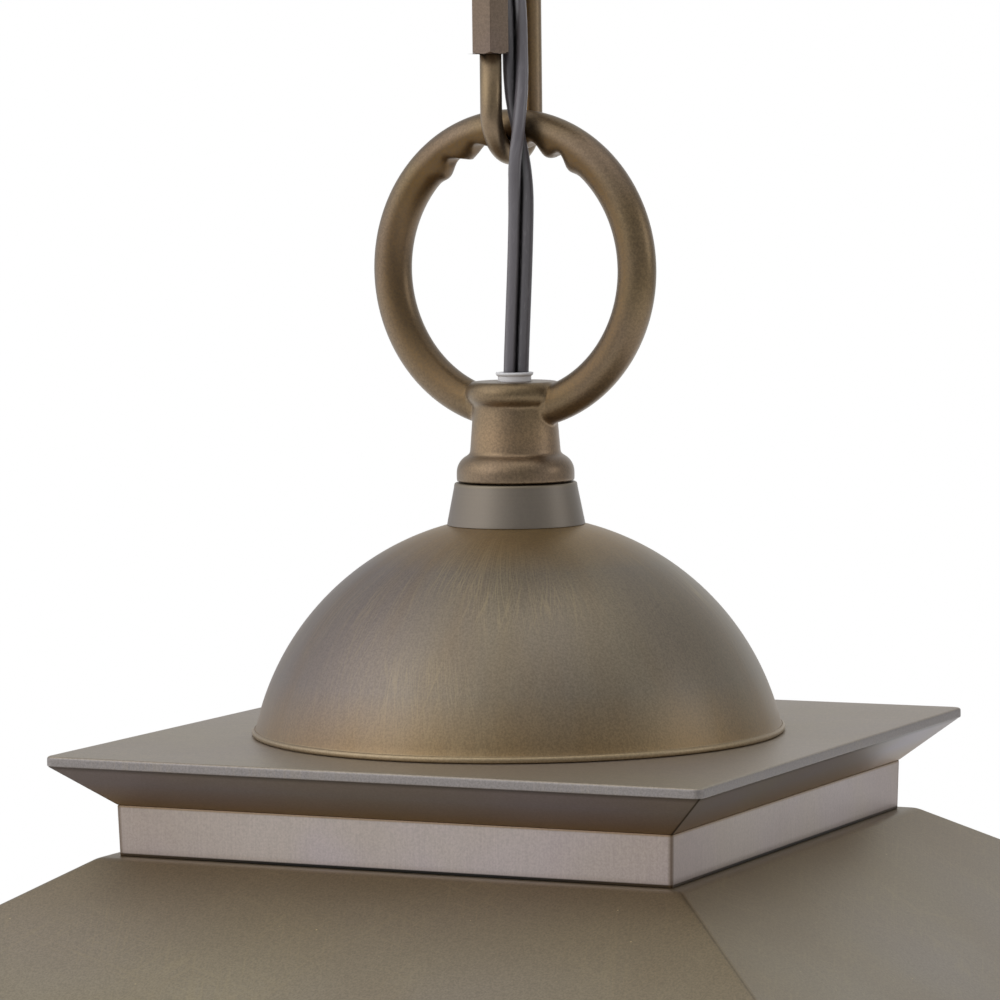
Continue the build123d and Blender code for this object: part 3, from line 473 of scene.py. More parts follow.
def lamp_glass(name):
    """Thin clear lamp glass: mostly see-through, bright at its rims."""
    material, add = new_material(name)
    place = add("ShaderNodeTexCoord")["Object"]
    film = add("ShaderNodeTexNoise", {"Vector": place, "Scale": 0.15 / mm, "Detail": 2.0})["Fac"]
    rough = add("ShaderNodeMapRange", (film, 0.4, 0.8, 0.01, 0.04))[0]
    shader = add("ShaderNodeBsdfPrincipled", {
        "Base Color": four(linear("#fbfaf6")), "Roughness": rough, "IOR": 1.47, "Transmission Weight": 1.0})
    add("ShaderNodeOutputMaterial", (shader[0],))
    return material


def moulded(name, colour, second, roughness):
    """Moulded plastic, faintly uneven in colour over 5 mm and in gloss over 0.7 mm."""
    material, add = new_material(name)
    place = add("ShaderNodeTexCoord")["Object"]
    cloud = add("ShaderNodeTexNoise", {"Vector": place, "Scale": 0.22 / mm, "Detail": 3.0})["Fac"]
    grain = add("ShaderNodeTexNoise", {"Vector": place, "Scale": 1.5 / mm, "Detail": 2.0})["Fac"]
    tone = add("ShaderNodeMix", {0: cloud, 6: four(linear(colour)), 7: four(linear(second))},
               data_type="RGBA")[2]
    rough = add("ShaderNodeMapRange", {0: grain, 3: roughness - 0.06, 4: roughness + 0.08})[0]
    bump = add("ShaderNodeBump", {"Strength": 0.15, "Distance": bump_depth, "Height": grain})[0]
    shader = add("ShaderNodeBsdfPrincipled", {
        "Base Color": tone, "Roughness": rough, "IOR": 1.49, "Normal": bump})
    add("ShaderNodeOutputMaterial", (shader[0],))
    return material


def cord_rubber(colour):
    """Soft PVC on the cord: satin grey, one conductor darker, painted shade in the groove, rubbed along it."""
    material, add = new_material("PVC insulation, extruded")
    parts = add("ShaderNodeSeparateXYZ", (add("ShaderNodeUVMap", uv_map="lay")[0],))
    along = [add("ShaderNodeMath", (part, count), operation="MULTIPLY")[0]
             for part, count in zip(parts[:2], (26.0, 14.0))]
    lay = add("ShaderNodeCombineXYZ", along)[0]
    rubs = add("ShaderNodeTexNoise", {"Vector": lay, "Scale": 1.0, "Detail": 3.0})["Fac"]
    second = add("ShaderNodeMath", (parts[0], 0.5), operation="GREATER_THAN")[0]
    # Each conductor's share runs from groove to groove, so its two ends are the painted shade in the web
    twice = add("ShaderNodeMath", (parts[0], 2.0), operation="MULTIPLY")[0]
    share = add("ShaderNodeMath", (twice,), operation="FRACT")[0]
    from_crest = add("ShaderNodeMath", (share, 0.5), operation="SUBTRACT")[0]
    off = add("ShaderNodeMath", (from_crest,), operation="ABSOLUTE")[0]
    painted_groove_shade = add("ShaderNodeMapRange", (off, 0.30, 0.42, 0.0, 0.95), interpolation_type="SMOOTHSTEP")[0]
    rubbed = add("ShaderNodeMapRange", (rubs, 0.55, 0.8, 0.0, 0.3))[0]
    tone = four(colour)
    for fac, tint in ((second, [0.62 * c for c in colour]), (painted_groove_shade, linear("#0c0b0c")),
                      (rubbed, linear("#9a959a"))):
        tone = add("ShaderNodeMix", {0: fac, 6: tone, 7: four(tint)}, data_type="RGBA")[2]
    rough = add("ShaderNodeMapRange", {0: rubs, 3: 0.26, 4: 0.44})[0]
    bump = add("ShaderNodeBump", {"Strength": 0.2, "Distance": bump_depth, "Height": rubs})[0]
    shader = add("ShaderNodeBsdfPrincipled", {
        "Base Color": tone, "Roughness": rough, "IOR": 1.54, "Coat Weight": 0.35, "Coat Roughness": 0.22,
        "Normal": bump})
    add("ShaderNodeOutputMaterial", (shader[0],))
    return material


finishes = {}


def make_finishes(colours):
    """Every finish of the lantern, by the names that the pieces ask for."""
    gold = tuple(colours.patina_and_shade)
    # Spun brass under a bronze wash: fine hairlines that fan down from the collar, olive and slate clouds,
    # and a paler line where the lip is rubbed
    # A painted cool reflection runs down one side of the dome
    finishes["dome"] = bronze_finish(
        "Bronze wash on spun brass", tuple(colours.dome), gold, "fan", 0.46, clouded=0.24, brushed=0.035,
        mottled=0.15, scratched=0.24, patinated=0.22, cool_reflection_side=1.0,
        levels=((1.5, 15.0, 0.5, 0.0, "#97763c"), (41.0, 49.0, 0.0, 0.6, "#a8843f"),
                (1.2, 1.9, 0.45, 0.0, "#c0b194")))
    # Folded sheet under the same wash: level brush lines, greyer down the folded edge, dark in the mitres
    finishes["plate"] = bronze_finish(
        "Bronze wash on folded sheet", tuple(colours.plate), gold, "level", 0.5, 60.0, clouded=0.4,
        brushed=0.04, mottled=0.14, coated=0.42, scratched=0.1, patinated=0.05,
        corner_line=(0.5, 0.8, "#3a3026", plate_half - 0.4), levels=((-0.4, -0.1, 0.9, 0.0, "#8f8a8a"),))
    # The soffit turns golden towards its foot and its mitre is burnt black
    # Painted shade darkens its top under the plate's edge and the few centimetres before each mitre
    finishes["soffit"] = bronze_finish(
        "Bronze wash on cove sheet", tuple(colours.soffit), gold, "around", 0.5, 45.0, clouded=0.6,
        brushed=0.03, mottled=0.08, patinated=0.05, corner_line=(0.55, 0.9, "#1c1611", 0.0),
        corner_shade=(30.0, 0.14),
        levels=((band_top, -6.5, 0.75, 0.0, "#a58242"),
                (-plate_edge - 1.1, -plate_edge, 0.0, 0.75, "#3c3a3f")))
    # Brushed upright by hand, paler where the wash is thin, with a brown line in each corner
    # Painted shade darkens the few centimetres before each corner, and a painted shadow line runs along its foot
    finishes["band"] = bronze_finish(
        "Bronze wash on brushed band", tuple(colours.band), gold, "upright", 0.44, 25.0, clouded=0.3,
        brushed=0.07, mottled=0.09, patinated=0.04, corner_line=(1.2, 0.7, "#4a3822", 0.0),
        corner_shade=(45.0, 0.2),
        levels=((band_top - 0.75, band_top - 0.35, 0.0, 0.7, "#86683a"),
                (roof_flat + 0.6, roof_flat + 0.85, 1.0, 0.0, "#0a0807")))
    # Heavier oil-rubbed coat on the big sheets, with specks of bare brass
    # Browner under the band: a painted reflection and shade of the band above it
    finishes["roof"] = bronze_finish(
        "Oiled bronze on roof sheet", tuple(colours.roof), gold, "none", 0.5, 70.0, clouded=0.45,
        brushed=0.02, mottled=0.15, scratched=0.12, specks=0.7, patinated=0.12,
        corner_line=(0.5, 0.45, "#5a4a30", 70.0),
        levels=((roof_flat - 22.0, roof_flat, 0.0, 0.6, "#836f48"),))
    # The same coat on the posts, door and tray, with fewer specks
    finishes["frame"] = bronze_finish(
        "Oiled bronze on frames", tuple(colours.roof), gold, "none", 0.48, 45.0, clouded=0.45, brushed=0.03,
        mottled=0.09, scratched=0.1, specks=0.4, patinated=0.15)
    # Sand-cast brass under the wash: soft, grainy, golden-brown where the coat is rubbed through
    # On the ring, part of that golden brown is painted reflection and shade
    finishes["cast"] = bronze_finish(
        "Bronze wash on sand casting", tuple(colours.casting), tuple(0.66 * c for c in gold), "none", 0.39,
        22.0, clouded=0.75, brushed=0.05, mottled=0.18, patinated=0.22)
    # Turned on a lathe, so fine lines run round it and it stays smooth, paler at its top edge
    finishes["collar"] = bronze_finish(
        "Bronze wash on turned collar", tuple(colours.collar), gold, "around", 0.5, 30.0, clouded=0.4,
        brushed=0.03, mottled=0.04, patinated=0.05, levels=((59.2, 60.1, 0.0, 0.4, "#9a8c6c"),))
    # Steel wire under the wash, rubbed golden where the links bear on each other
    finishes["link"] = bronze_finish(
        "Bronze wash on steel wire", tuple(colours.chain), tuple(min(1.0, 1.05 * c) for c in gold), "none",
        0.38, 16.0, clouded=0.45, brushed=0.03, mottled=0.12, patinated=0.12)
    # The sleeve is milled from hexagon bar, so its flats took the wash evenly and greyer
    finishes["sleeve"] = bronze_finish(
        "Bronze wash on hexagon bar", linear("#7c7068"), gold, "around", 0.42, 18.0, clouded=0.3,
        brushed=0.05, mottled=0.14, patinated=0.05)
    # Spun like the dome, out of a hand's reach, so its clouds are stronger and nothing has rubbed it pale
    finishes["canopy"] = bronze_finish(
        "Bronze wash on spun canopy", tuple(colours.dome), gold, "fan", 0.45, clouded=0.5, brushed=0.035,
        mottled=0.11, scratched=0.2, patinated=0.2)
    # Plated, drawn and rolled metal stays bright and even; the shell of a lamp shows faint yellow stains
    finishes["zinc"] = plain_metal("Zinc plated steel", "#b9bcc0", 0.38, "#a6a494")
    finishes["brass"] = plain_metal("Drawn brass", "#c8a35a", 0.34, "#a8843f")
    finishes["steel"] = plain_metal("Nickel plated lamp shell", "#c4c0b6", 0.3, "#a8a294")
    # Clear glass: the panes bend the light in slow waves, the lamps show as bright rims
    finishes["glass"] = float_glass("Float glass", tuple(colours.glass))
    finishes["bulb"] = lamp_glass("Lamp glass, blown")
    # Moulded plastics: satin ivory, dull black and a milky white
    finishes["candle"] = moulded("Ivory polyester sleeve", "#e6dcc2", "#dccfae", 0.5)
    finishes["socket"] = moulded("Phenolic socket, black", "#1d1b1a", "#2a2624", 0.42)
    finishes["bushing"] = moulded("Nylon bushing, natural", "#fdfdff", "#f4f4fa", 0.35)
    # Extruded PVC: satin grey with painted shade in the groove
    finishes["cord"] = cord_rubber(tuple(colours.cord))


# Mesh helpers

def ramp(value, start, end):
    """How far a value has gone from start to end, held between 0 and 1."""
    return min(1.0, max(0.0, (value - start) / (end - start)))


def placed(name, data):
    """A new object in the scene."""
    made = bpy.data.objects.new(name, data)
    bpy.context.scene.collection.objects.link(made)
    return made


def as_mesh(name, shape):
    """Turns a bmesh into a mesh and frees it."""
    mesh = bpy.data.meshes.new(name)
    shape.to_mesh(mesh)
    shape.free()
    return mesh


def mark(mesh, name, values):
    """Gives each corner of a mesh a value that its finish reads."""
    mesh.attributes.new(name, "FLOAT", "POINT").data.foreach_set("value", values)


def as_piece(name, mesh, finish, replaced=(), body=None, slot=None, sharp=32.0, smooth=True):
    """Links a finished mesh, gives it its finish and ties it to a body of the lantern."""
    piece = placed(name, mesh)
    if smooth:
        mesh.shade_smooth()
        mesh.set_sharp_from_angle(angle=radians(sharp))
    mesh.materials.clear()
    mesh.materials.append(finishes[finish])
    if replaced:
        body = body or node_body[replaced[0]]
        slot = slot or node_slot[replaced[0]]
        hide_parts(*replaced)
    if body:
        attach(piece, body)


def settle(piece):
    """Applies the piece's modifiers by keeping the evaluated mesh."""
    bpy.context.view_layer.update()
    graph = bpy.context.evaluated_depsgraph_get()
    mesh = bpy.data.meshes.new_from_object(piece.evaluated_get(graph), depsgraph=graph)
    piece.modifiers.clear()
    piece.data = mesh
    return mesh


def even_faces(mesh):
    """Weights the normals by face area, so that flat sheets stay flat beside their rounded edges."""
    holder = placed("holder", mesh)
    mesh.shade_smooth()
    mesh.set_sharp_from_angle(angle=radians(40.0))
    weighted = holder.modifiers.new("Even faces", "WEIGHTED_NORMAL")
    weighted.keep_sharp = True
    weighted.weight = 90
    result = settle(holder)
    bpy.data.objects.remove(holder)
    return result


def to_mesh(name, shape):
    """Closes a bmesh into a mesh with outward faces."""
    bmesh.ops.remove_doubles(shape, verts=shape.verts, dist=1e-7)
    bmesh.ops.dissolve_degenerate(shape, edges=shape.edges, dist=1e-7)
    bmesh.ops.recalc_face_normals(shape, faces=shape.faces)
    return as_mesh(name, shape)


def softened(points, steps=4):
    """Closed outline of (across, up, radius) corners in mm, each corner rounded by its radius."""
    result = []
    count = len(points)
    for i, (x, z, radius) in enumerate(points):
        here = Vector((x, z))
        if not radius:
            result.append((x, z))
            continue
        before = Vector(points[i - 1][:2]) - here
        after = Vector(points[(i + 1) % count][:2]) - here
        reach = min(radius, 0.48 * before.length, 0.48 * after.length)
        start, end = here + reach * before.normalized(), here + reach * after.normalized()
        for k in range(steps + 1):
            t = k / steps
            result.append(tuple((1 - t) ** 2 * start + 2 * t * (1 - t) * here + t * t * end))
    return result


def ringed(shape, rings):
    """Faces from each ring of corners to the next, and from the last ring back to the first."""
    for one, two in zip(rings, rings[1:] + rings[:1]):
        for j in range(len(one)):
            k = (j + 1) % len(one)
            shape.faces.new((one[j], two[j], two[k], one[k]))
    return shape


def turned(outline, steps, centre=(0.0, 0.0)):
    """Turns a closed outline of (radius, height above the plate) in mm about an upright line."""
    shape = bmesh.new()
    rings = []
    for i in range(steps):
        a = tau * i / steps
        rings.append([shape.verts.new(((centre[0] + r * cos(a)) * mm, (centre[1] + r * sin(a)) * mm,
                                       plate_z + z * mm)) for r, z in outline])
    return ringed(shape, rings)


def folded(outline, corner, steps):
    """Carries a closed outline of (half width, height above the plate) in mm round a square."""
    shape = bmesh.new()
    rings = []
    for quarter, (sx, sy) in enumerate(((1, 1), (-1, 1), (-1, -1), (1, -1))):
        for k in range(steps + 1):
            a = (quarter + k / steps) * pi / 2
            ring = []
            for half, z in outline:
                r = min(corner, 0.5 * half)
                ring.append(shape.verts.new(((sx * (half - r) + r * cos(a)) * mm,
                                             (sy * (half - r) + r * sin(a)) * mm, plate_z + z * mm)))
            rings.append(ring)
    return ringed(shape, rings)


def folded_sheet(name, finish, node, corners, corner, steps):
    """A folded sheet from the corners of its section."""
    mesh = even_faces(to_mesh(name, folded(softened(corners), corner, steps)))
    as_piece(name, mesh, finish, [node], smooth=False)


def merged(node, dissolve=0.6):
    """A merged copy of a solid's loose triangles; dissolve is the bend in degrees that counts as flat."""
    shape = bmesh.new()
    shape.from_mesh(nodes[node].data)
    bmesh.ops.remove_doubles(shape, verts=shape.verts, dist=2e-6)
    bmesh.ops.dissolve_degenerate(shape, edges=shape.edges, dist=1e-6)
    if dissolve:
        bmesh.ops.dissolve_limit(shape, angle_limit=radians(dissolve), verts=shape.verts, edges=shape.edges)
    return shape


def dressed(node, finish, edge=0.0):
    """A solid with its sharp edges rounded and marked as worn."""
    shape = merged(node)
    worn = shape.verts.layers.float.new("worn")
    if edge:
        sharp = [e for e in shape.edges if e.is_manifold and e.calc_face_angle() > radians(35)]
        made = bmesh.ops.bevel(shape, geom=sharp, offset=edge, offset_type="OFFSET", segments=2, profile=0.6,
                               affect="EDGES", clamp_overlap=False)
        for face in made["faces"]:
            for vert in face.verts:
                vert[worn] = 1.0
    mesh = even_faces(as_mesh(node + "_finish", shape))
    as_piece(node + "_finish", mesh, finish, [node], smooth=False)


# Cord

# The route of the cord, in mm: in the chain's own turned frame, as the solids have it
cord_route = [(0.0, 0.0, -0.6), (0.1, 0.0, -12.0), (0.0, 0.1, -24.0), (0.1, 0.0, -35.0), (1.0, -1.6, -43.0),
              (5.0, -5.7, -50.5), (5.7, -6.4, -61.0), (5.4, -6.3, -77.0), (4.8, -5.7, -93.0),
              (-4.8, 5.7, -116.0), (-6.1, 7.1, -131.0), (-6.2, 7.3, -147.0), (-4.6, 5.8, -163.0),
              (-1.9, 4.3, -171.5), (2.2, -1.8, -180.8), (4.2, -5.2, -190.3), (5.6, -7.2, -200.5),
              (6.4, -7.9, -206.5), (6.1, -7.3, -212.5), (5.0, -4.4, -222.0), (3.4, -2.5, -236.0),
              (1.6, -0.9, -252.0), (0.4, 0.0, -264.5), (0.1, 0.1, -277.0), (0.0, 0.1, -289.0)]
tail_foot = -640.8
tail_runs = 7
tail_sway = 0.1
cord_cuts = [-41.6, -78.0, -112.0, -149.0, -187.0, -249.0]
cord_bodies = [("ceiling",), ("ceiling", "link_1"), ("link_1", "link_2"), ("link_2", "link_3"),
               ("link_3", "quick_link"), ("quick_link", "lantern"), ("lantern",)]
# Heights above the plate between which the flat cord turns over, and where its wide side faces below them
twist_low = 122.0
twist_high = 166.0
cord_facing = radians(25.4)
lay_length = 50 * mm


def route_points():
    """The route's points in metres, turned into the lantern's frame, with the long tail down the stem."""
    points = list(cord_route)
    last = cord_route[-1][2]
    for k in range(1, tail_runs + 1):
        z = last + (tail_foot - last) * k / tail_runs
        points.append((tail_sway if k % 2 else -tail_sway, 0.0, z))
    turn = Matrix.Rotation(loop_turn, 3, "Z")
    return [turn @ (Vector(p) * mm) for p in points]


def cord_line():
    """Points read from the route's smooth spline, from the ceiling down."""
    curve = bpy.data.curves.new("cord route", "CURVE")
    curve.dimensions = "3D"
    spline = curve.splines.new("NURBS")
    points = route_points()
    spline.points.add(len(points) - 1)
    for control, point in zip(spline.points, points):
        control.co = (*point, 1.0)
    spline.order_u = 3
    spline.use_endpoint_u = True
    spline.resolution_u = 12
    holder = placed("cord route", curve)
    mesh = bpy.data.meshes.new_from_object(holder)
    line = [v.co.copy() for v in mesh.vertices]
    bpy.data.objects.remove(holder)
    bpy.data.meshes.remove(mesh)
    return line


def cut_line(line, heights):
    """Splits a falling line where it passes each height."""
    pieces, current = [], [line[0]]
    left = [h * mm for h in heights]
    for a, b in zip(line, line[1:]):
        while left and b.z < left[0]:
            t = (a.z - left[0]) / (a.z - b.z)
            point = a.lerp(b, t)
            current.append(point)
            pieces.append(current)
            current = [point]
            left.pop(0)
        if (b - current[-1]).length > 1e-6:
            current.append(b)
    pieces.append(current)
    return pieces


def twin_section(sizes, steps=14):
    """Outline of two round conductors joined by a thin web, as (wide, thin, share round) in metres.

    The share runs from 0.02 to 0.48 round the first conductor and from 0.52 to 0.98 round the second.
    """
    r, reach = sizes.conductor_radius, sizes.conductor_reach
    waist = sqrt(max(r * r - reach * reach, (0.2 * r) ** 2))
    half_open = pi - atan2(waist, reach)
    points = []
    for side, first_share in ((-1, 0.02), (1, 0.52)):
        for k in range(steps):
            t = k / (steps - 1)
            a = half_open * (2 * t - 1)
            points.append((side * (reach + r * cos(a)), side * r * sin(a), first_share + 0.46 * t))
    return points


def wide_axis(z):
    """Direction of the flat cord's wide axis at a height: it turns over once beside the quick link."""
    above = (z - plate_z) / mm
    t = ramp(above, twist_low, twist_high)
    a = cord_facing + pi * t * t * (3 - 2 * t)
    return Vector((cos(a), sin(a), 0.0))


def cord_stretch(path, section):
    """A stretch of cord along a path, with how far round and how far along as its texture's place."""
    shape = bmesh.new()
    lay = shape.loops.layers.uv.new("lay")
    rings, travelled, marks = [], 0.0, []
    for i, point in enumerate(path):
        tangent = (path[min(i + 1, len(path) - 1)] - path[max(i - 1, 0)]).normalized()
        wide = wide_axis(point.z)
        wide = (wide - tangent * wide.dot(tangent)).normalized()
        thin = tangent.cross(wide)
        if i:
            travelled += (point - path[i - 1]).length
        marks.append(travelled)
        rings.append([shape.verts.new(point + u * wide + v * thin) for u, v, _ in section])
    count = len(section)
    for i in range(len(rings) - 1):
        for j in range(count):
            k = (j + 1) % count
            face = shape.faces.new((rings[i][j], rings[i][k], rings[i + 1][k], rings[i + 1][j]))
            for loop, (u, v) in zip(face.loops, ((j, i), (k, i), (k, i + 1), (j, i + 1))):
                # The face that closes the section keeps the last share on both its sides
                share = section[j][2] if j == count - 1 else section[u][2]
                loop[lay].uv = (share, marks[v] / lay_length)
    for ring in (rings[0], rings[-1]):
        shape.faces.new(ring)
    bmesh.ops.recalc_face_normals(shape, faces=shape.faces)
    return as_mesh("cord_stretch", shape), travelled


def make_cord(sizes):
    """The flat twin cord, one piece for each stretch between two joints."""
    section = twin_section(sizes)
    for index, path in enumerate(cut_line(cord_line(), cord_cuts)):
        mesh, travelled = cord_stretch(path, section)
        bodies = cord_bodies[index]
        node = f"cord_{index + 1}"
        mesh.shade_smooth()
        mesh.set_sharp_from_angle(angle=radians(60))
        piece = placed(f"flat_cord_{index + 1}", mesh)
        mesh.materials.append(finishes["cord"])
        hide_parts(node)
        if len(bodies) == 1:
            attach(piece, bodies[0])
        else:
            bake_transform(piece)


# Ring and hub

def deepen_notches(mesh):
    """Cuts the ring's side notches deeper and lets the teeth between them stand in a little."""
    turn = Matrix.Rotation(-loop_turn, 3, "Z")
    centre = plate_z + loop_height * mm
    for v in mesh.vertices:
        p = turn @ v.co
        x, up = p.x / mm, (p.z - centre) / mm
        out = sqrt(x * x + up * up)
        if up < notch_lowest or out > loop_r:
            continue
        lean = degrees(atan2(x, up))
        push = 0.0
        for at in side_notches:
            push += notch_depth * exp(-((lean - at) / notch_width) ** 2)
        for at in side_teeth:
            push -= tooth_height * exp(-((lean - at) / tooth_width) ** 2)
        push *= ramp(out, loop_r + 0.5, loop_r + 0.5 - loop_wire_r)
        scale = (out + push) / out
        p.x, p.z = p.x * scale, centre + (p.z - centre) * scale
        v.co = turn.inverted() @ p


def wear_ring(mesh):
    """Marks the ring's inner sides golden, as patina and painted shade, and its outside, a painted highlight, and the
    hub's neck lighter.
    """
    turn = Matrix.Rotation(-loop_turn, 3, "Z")
    centre = plate_z + loop_height * mm
    bore = loop_r - loop_wire_r
    golden_and_shade, rubbed_and_highlight = [], []
    for v in mesh.vertices:
        p = turn @ v.co
        up = (p.z - centre) / mm
        out = sqrt(p.x ** 2 + (p.z - centre) ** 2) / mm
        above = (p.z - plate_z) / mm
        inner = ramp(out, loop_r + 1.3, loop_r - 0.9)
        rim = ramp(out, bore + 0.9, bore)
        high = ramp(up, 14.0, 23.0)
        outside = ramp(out, loop_r + 1.2, loop_r + 3.6)
        on_hub = 1.0 if above < hub_top + 1 and abs(p.x) < hub_half * mm else 0.0
        neck = ramp(abs(above - hub_neck), hub_neck_half, 0.0)
        # Patina towards the notches at the top, a painted reflection across the tube's face, paler at its inner rim,
        # and painted shade underneath
        share = (0.62 + 0.3 * high) * inner * (1.0 - 0.55 * rim) + 0.3 * max(0.0, -v.normal.z)
        golden_and_shade.append(min(0.9, (1 - on_hub) * share + on_hub * 0.2 * neck))
        # Lighter on the ring's outside, a painted highlight, and over the hub, most at its neck
        rubbed_and_highlight.append(on_hub * (0.14 + 1.25 * neck) + (1 - on_hub) * 0.22 * outside)
    mark(mesh, "patina_and_shade", golden_and_shade)
    mark(mesh, "rubbed", rubbed_and_highlight)


def make_ring(sizes):
    """The cast ring and hub, in one skin with soft fillets."""
    holder = placed("casting", as_mesh("casting", merged("loop_hub", 0)))
    skin = holder.modifiers.new("Cast skin", "REMESH")
    skin.mode = "VOXEL"
    skin.voxel_size = sizes.casting_grain
    deepen_notches(settle(holder))
    relax = holder.modifiers.new("Cast fillets", "SMOOTH")
    relax.factor = 0.5
    relax.iterations = 6
    mesh = settle(holder)
    bpy.data.objects.remove(holder)
    wear_ring(mesh)
    as_piece("cast_ring_and_hub", mesh, "cast", ["loop_hub"], sharp=180)


def make_bushing():
    """The moulded bushing in the hub's mouth, its rim a little chipped."""
    top = hub_top + bushing_rise
    foot = hub_top - bushing_sunk
    outline = [(bushing_bore, foot, 0), (bushing_shank, foot, 0), (bushing_shank, hub_top, 0),
               (bushing_neck, hub_top, 0.1), (bushing_neck, top - 0.96, 0.2), (bushing_rim, top - 0.6, 0.2),
               (bushing_rim + 0.02, top - 0.05, 0.15), (bushing_bore + 0.05, top - 0.02, 0.2)]
    shape = turned(softened(outline), 72)
    for v in shape.verts:
        a = atan2(v.co.y, v.co.x)
        chip = max(0.0, cos(3 * a + 0.7) * cos(5 * a) - 0.55)
        if v.co.z > plate_z + (top - 0.7) * mm:
            v.co.z -= 0.35 * mm * chip
    as_piece("moulded_bushing", to_mesh("bushing", shape), "bushing", ["cord_bushing"], sharp=50)


def make_collar():
    """The tapered collar, turned and hollow, which seats on the dome."""
    top = hub_base - 0.25
    foot = dome_sphere_z + sqrt(dome_sphere_r ** 2 - collar_foot_r ** 2)
    outline = [(nipple_hole, top, 0.2), (collar_top_r, top, 0.5), (collar_top_r + 0.15, top - 1.2, 0),
               (collar_foot_r - 0.15, foot + 0.9, 0.3), (collar_foot_r, foot + 0.06, 0.1),
               (collar_foot_r - 1.5, foot + 0.45, 0), (collar_top_r - 1.5, top - 3.0, 0),
               (nipple_hole, top - 3.0, 0)]
    mesh = even_faces(to_mesh("collar", turned(softened(outline), 128)))
    as_piece("turned_collar", mesh, "collar", ["tapered_collar"], smooth=False)


# Cap

def make_dome():
    """The spun dome with its rolled lip."""
    outside_r, inside_r = dome_sphere_r, dome_sphere_r - dome_wall
    foot_angle = atan2(dome_foot - dome_sphere_z, sqrt(outside_r ** 2 - (dome_foot - dome_sphere_z) ** 2))
    angles = [foot_angle + (dome_top_angle - foot_angle) * k / dome_steps for k in range(dome_steps + 1)]
    outside = [(outside_r * cos(a), dome_sphere_z + outside_r * sin(a)) for a in angles]
    inside = [(inside_r * cos(a), dome_sphere_z + inside_r * sin(a)) for a in reversed(angles)]
    lip = [(lip_r - 1.92, 0.02, 0.1), (lip_r - 0.52, 0.02, 0.5), (lip_r, 0.45, 0.4), (lip_r, 1.25, 0.4),
           (lip_r - 0.57, 1.72, 0.3)]
    mesh = to_mesh("dome", turned(softened(lip) + outside + inside, 224))
    as_piece("spun_dome", mesh, "dome", ["dome"], sharp=50)


def make_cap_sheets():
    """The cap plate with its folded edge, the sloping soffit under it and the upright band."""
    folded_sheet("cap_sheet", "plate", "cap_plate", [
        (nipple_hole, 0, 0), (plate_half, 0, 0.7), (plate_half, -plate_edge, 0.3),
        (plate_half - sheet, -plate_edge, 0.2), (plate_half - sheet, -sheet, 0),
        (nipple_hole, -sheet, 0)], 2.0, 6)
    soffit_top = -plate_edge - seam_gap
    inset = plate_half - 0.5
    wall = sheet * sqrt(1 + ((inset - band_top_half) / (plate_edge + band_top)) ** 2)
    folded_sheet("sloping_soffit", "soffit", "cap_soffit", [
        (band_top_half, band_top, 0.25), (inset, soffit_top, 0.25), (inset - wall, soffit_top, 0),
        (band_top_half - wall, band_top, 0)], 0.5, 3)
    strip_top = band_top - 2 * seam_gap
    folded_sheet("upright_band", "band", "neck_band", [
        (band_foot_half, roof_flat, 0.2), (band_top_half, strip_top, 0.3),
        (band_top_half - sheet, strip_top, 0), (band_foot_half - sheet, roof_flat, 0)], 0.5, 3)


def make_roof(sizes):
    """The hipped roof sheet with its fascia bead, and what closes and braces it below."""
    eave_z = roof_flat - roof_slope * (eave_half - roof_flat_half)
    foot = eave_z - fascia_height
    bead_foot = foot + bead_height
    bead = eave_half + bead_reach
    inner = eave_half - sheet
    side = sheet * sqrt(1 + 1 / roof_slope ** 2)
    inner_flat = roof_flat_half + sheet / roof_slope - side
    inner_eave = roof_flat - sheet - roof_slope * (inner - inner_flat)
    r = sizes.edge_radius / mm
    folded_sheet("hipped_roof", "roof", "roof", [
        (nipple_hole, roof_flat, 0), (roof_flat_half, roof_flat, 1.2), (eave_half, eave_z, 1.4),
        (eave_half, bead_foot, r), (bead, bead_foot, 0.7), (bead, foot, 0.7), (inner, foot, r),
        (inner, inner_eave, 0), (inner_flat, roof_flat - sheet, 0), (nipple_hole, roof_flat - sheet, 0)],
        sizes.corner_radius / mm, 5)
    dressed("eave_ceiling", "frame", r * mm)
    dressed("roof_brace", "zinc", r * mm)
    dressed("roof_lock_nut", "zinc", r * mm)
    dressed("centre_nipple", "zinc")


# Chain and canopy

def bright_inside(mesh, middle):
    """Marks the inner sides of a link, where the finish is rubbed golden."""
    values = []
    for v in mesh.vertices:
        toward = Vector((middle.x - v.co.x, middle.y - v.co.y, 0.25 * (middle.z - v.co.z)))
        values.append(min(0.95, max(0.0, v.normal.dot(toward.normalized()) - 0.05)))
    mark(mesh, "patina_and_shade", values)


def make_chain():
    """The chain's links, the quick link with its sleeve, and the canopy's threaded eye."""
    for node in ("chain_link_1", "chain_link_2", "chain_link_3", "quick_link"):
        low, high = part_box(node)
        mesh = as_mesh(node, merged(node, 0))
        as_piece(node + "_finish", mesh, "link", [node], sharp=50)
        bright_inside(mesh, (low + high) / 2)
    dressed("quick_link_sleeve", "sleeve", 0.12 * mm)
    dressed("canopy_loop", "cast", 0.3 * mm)


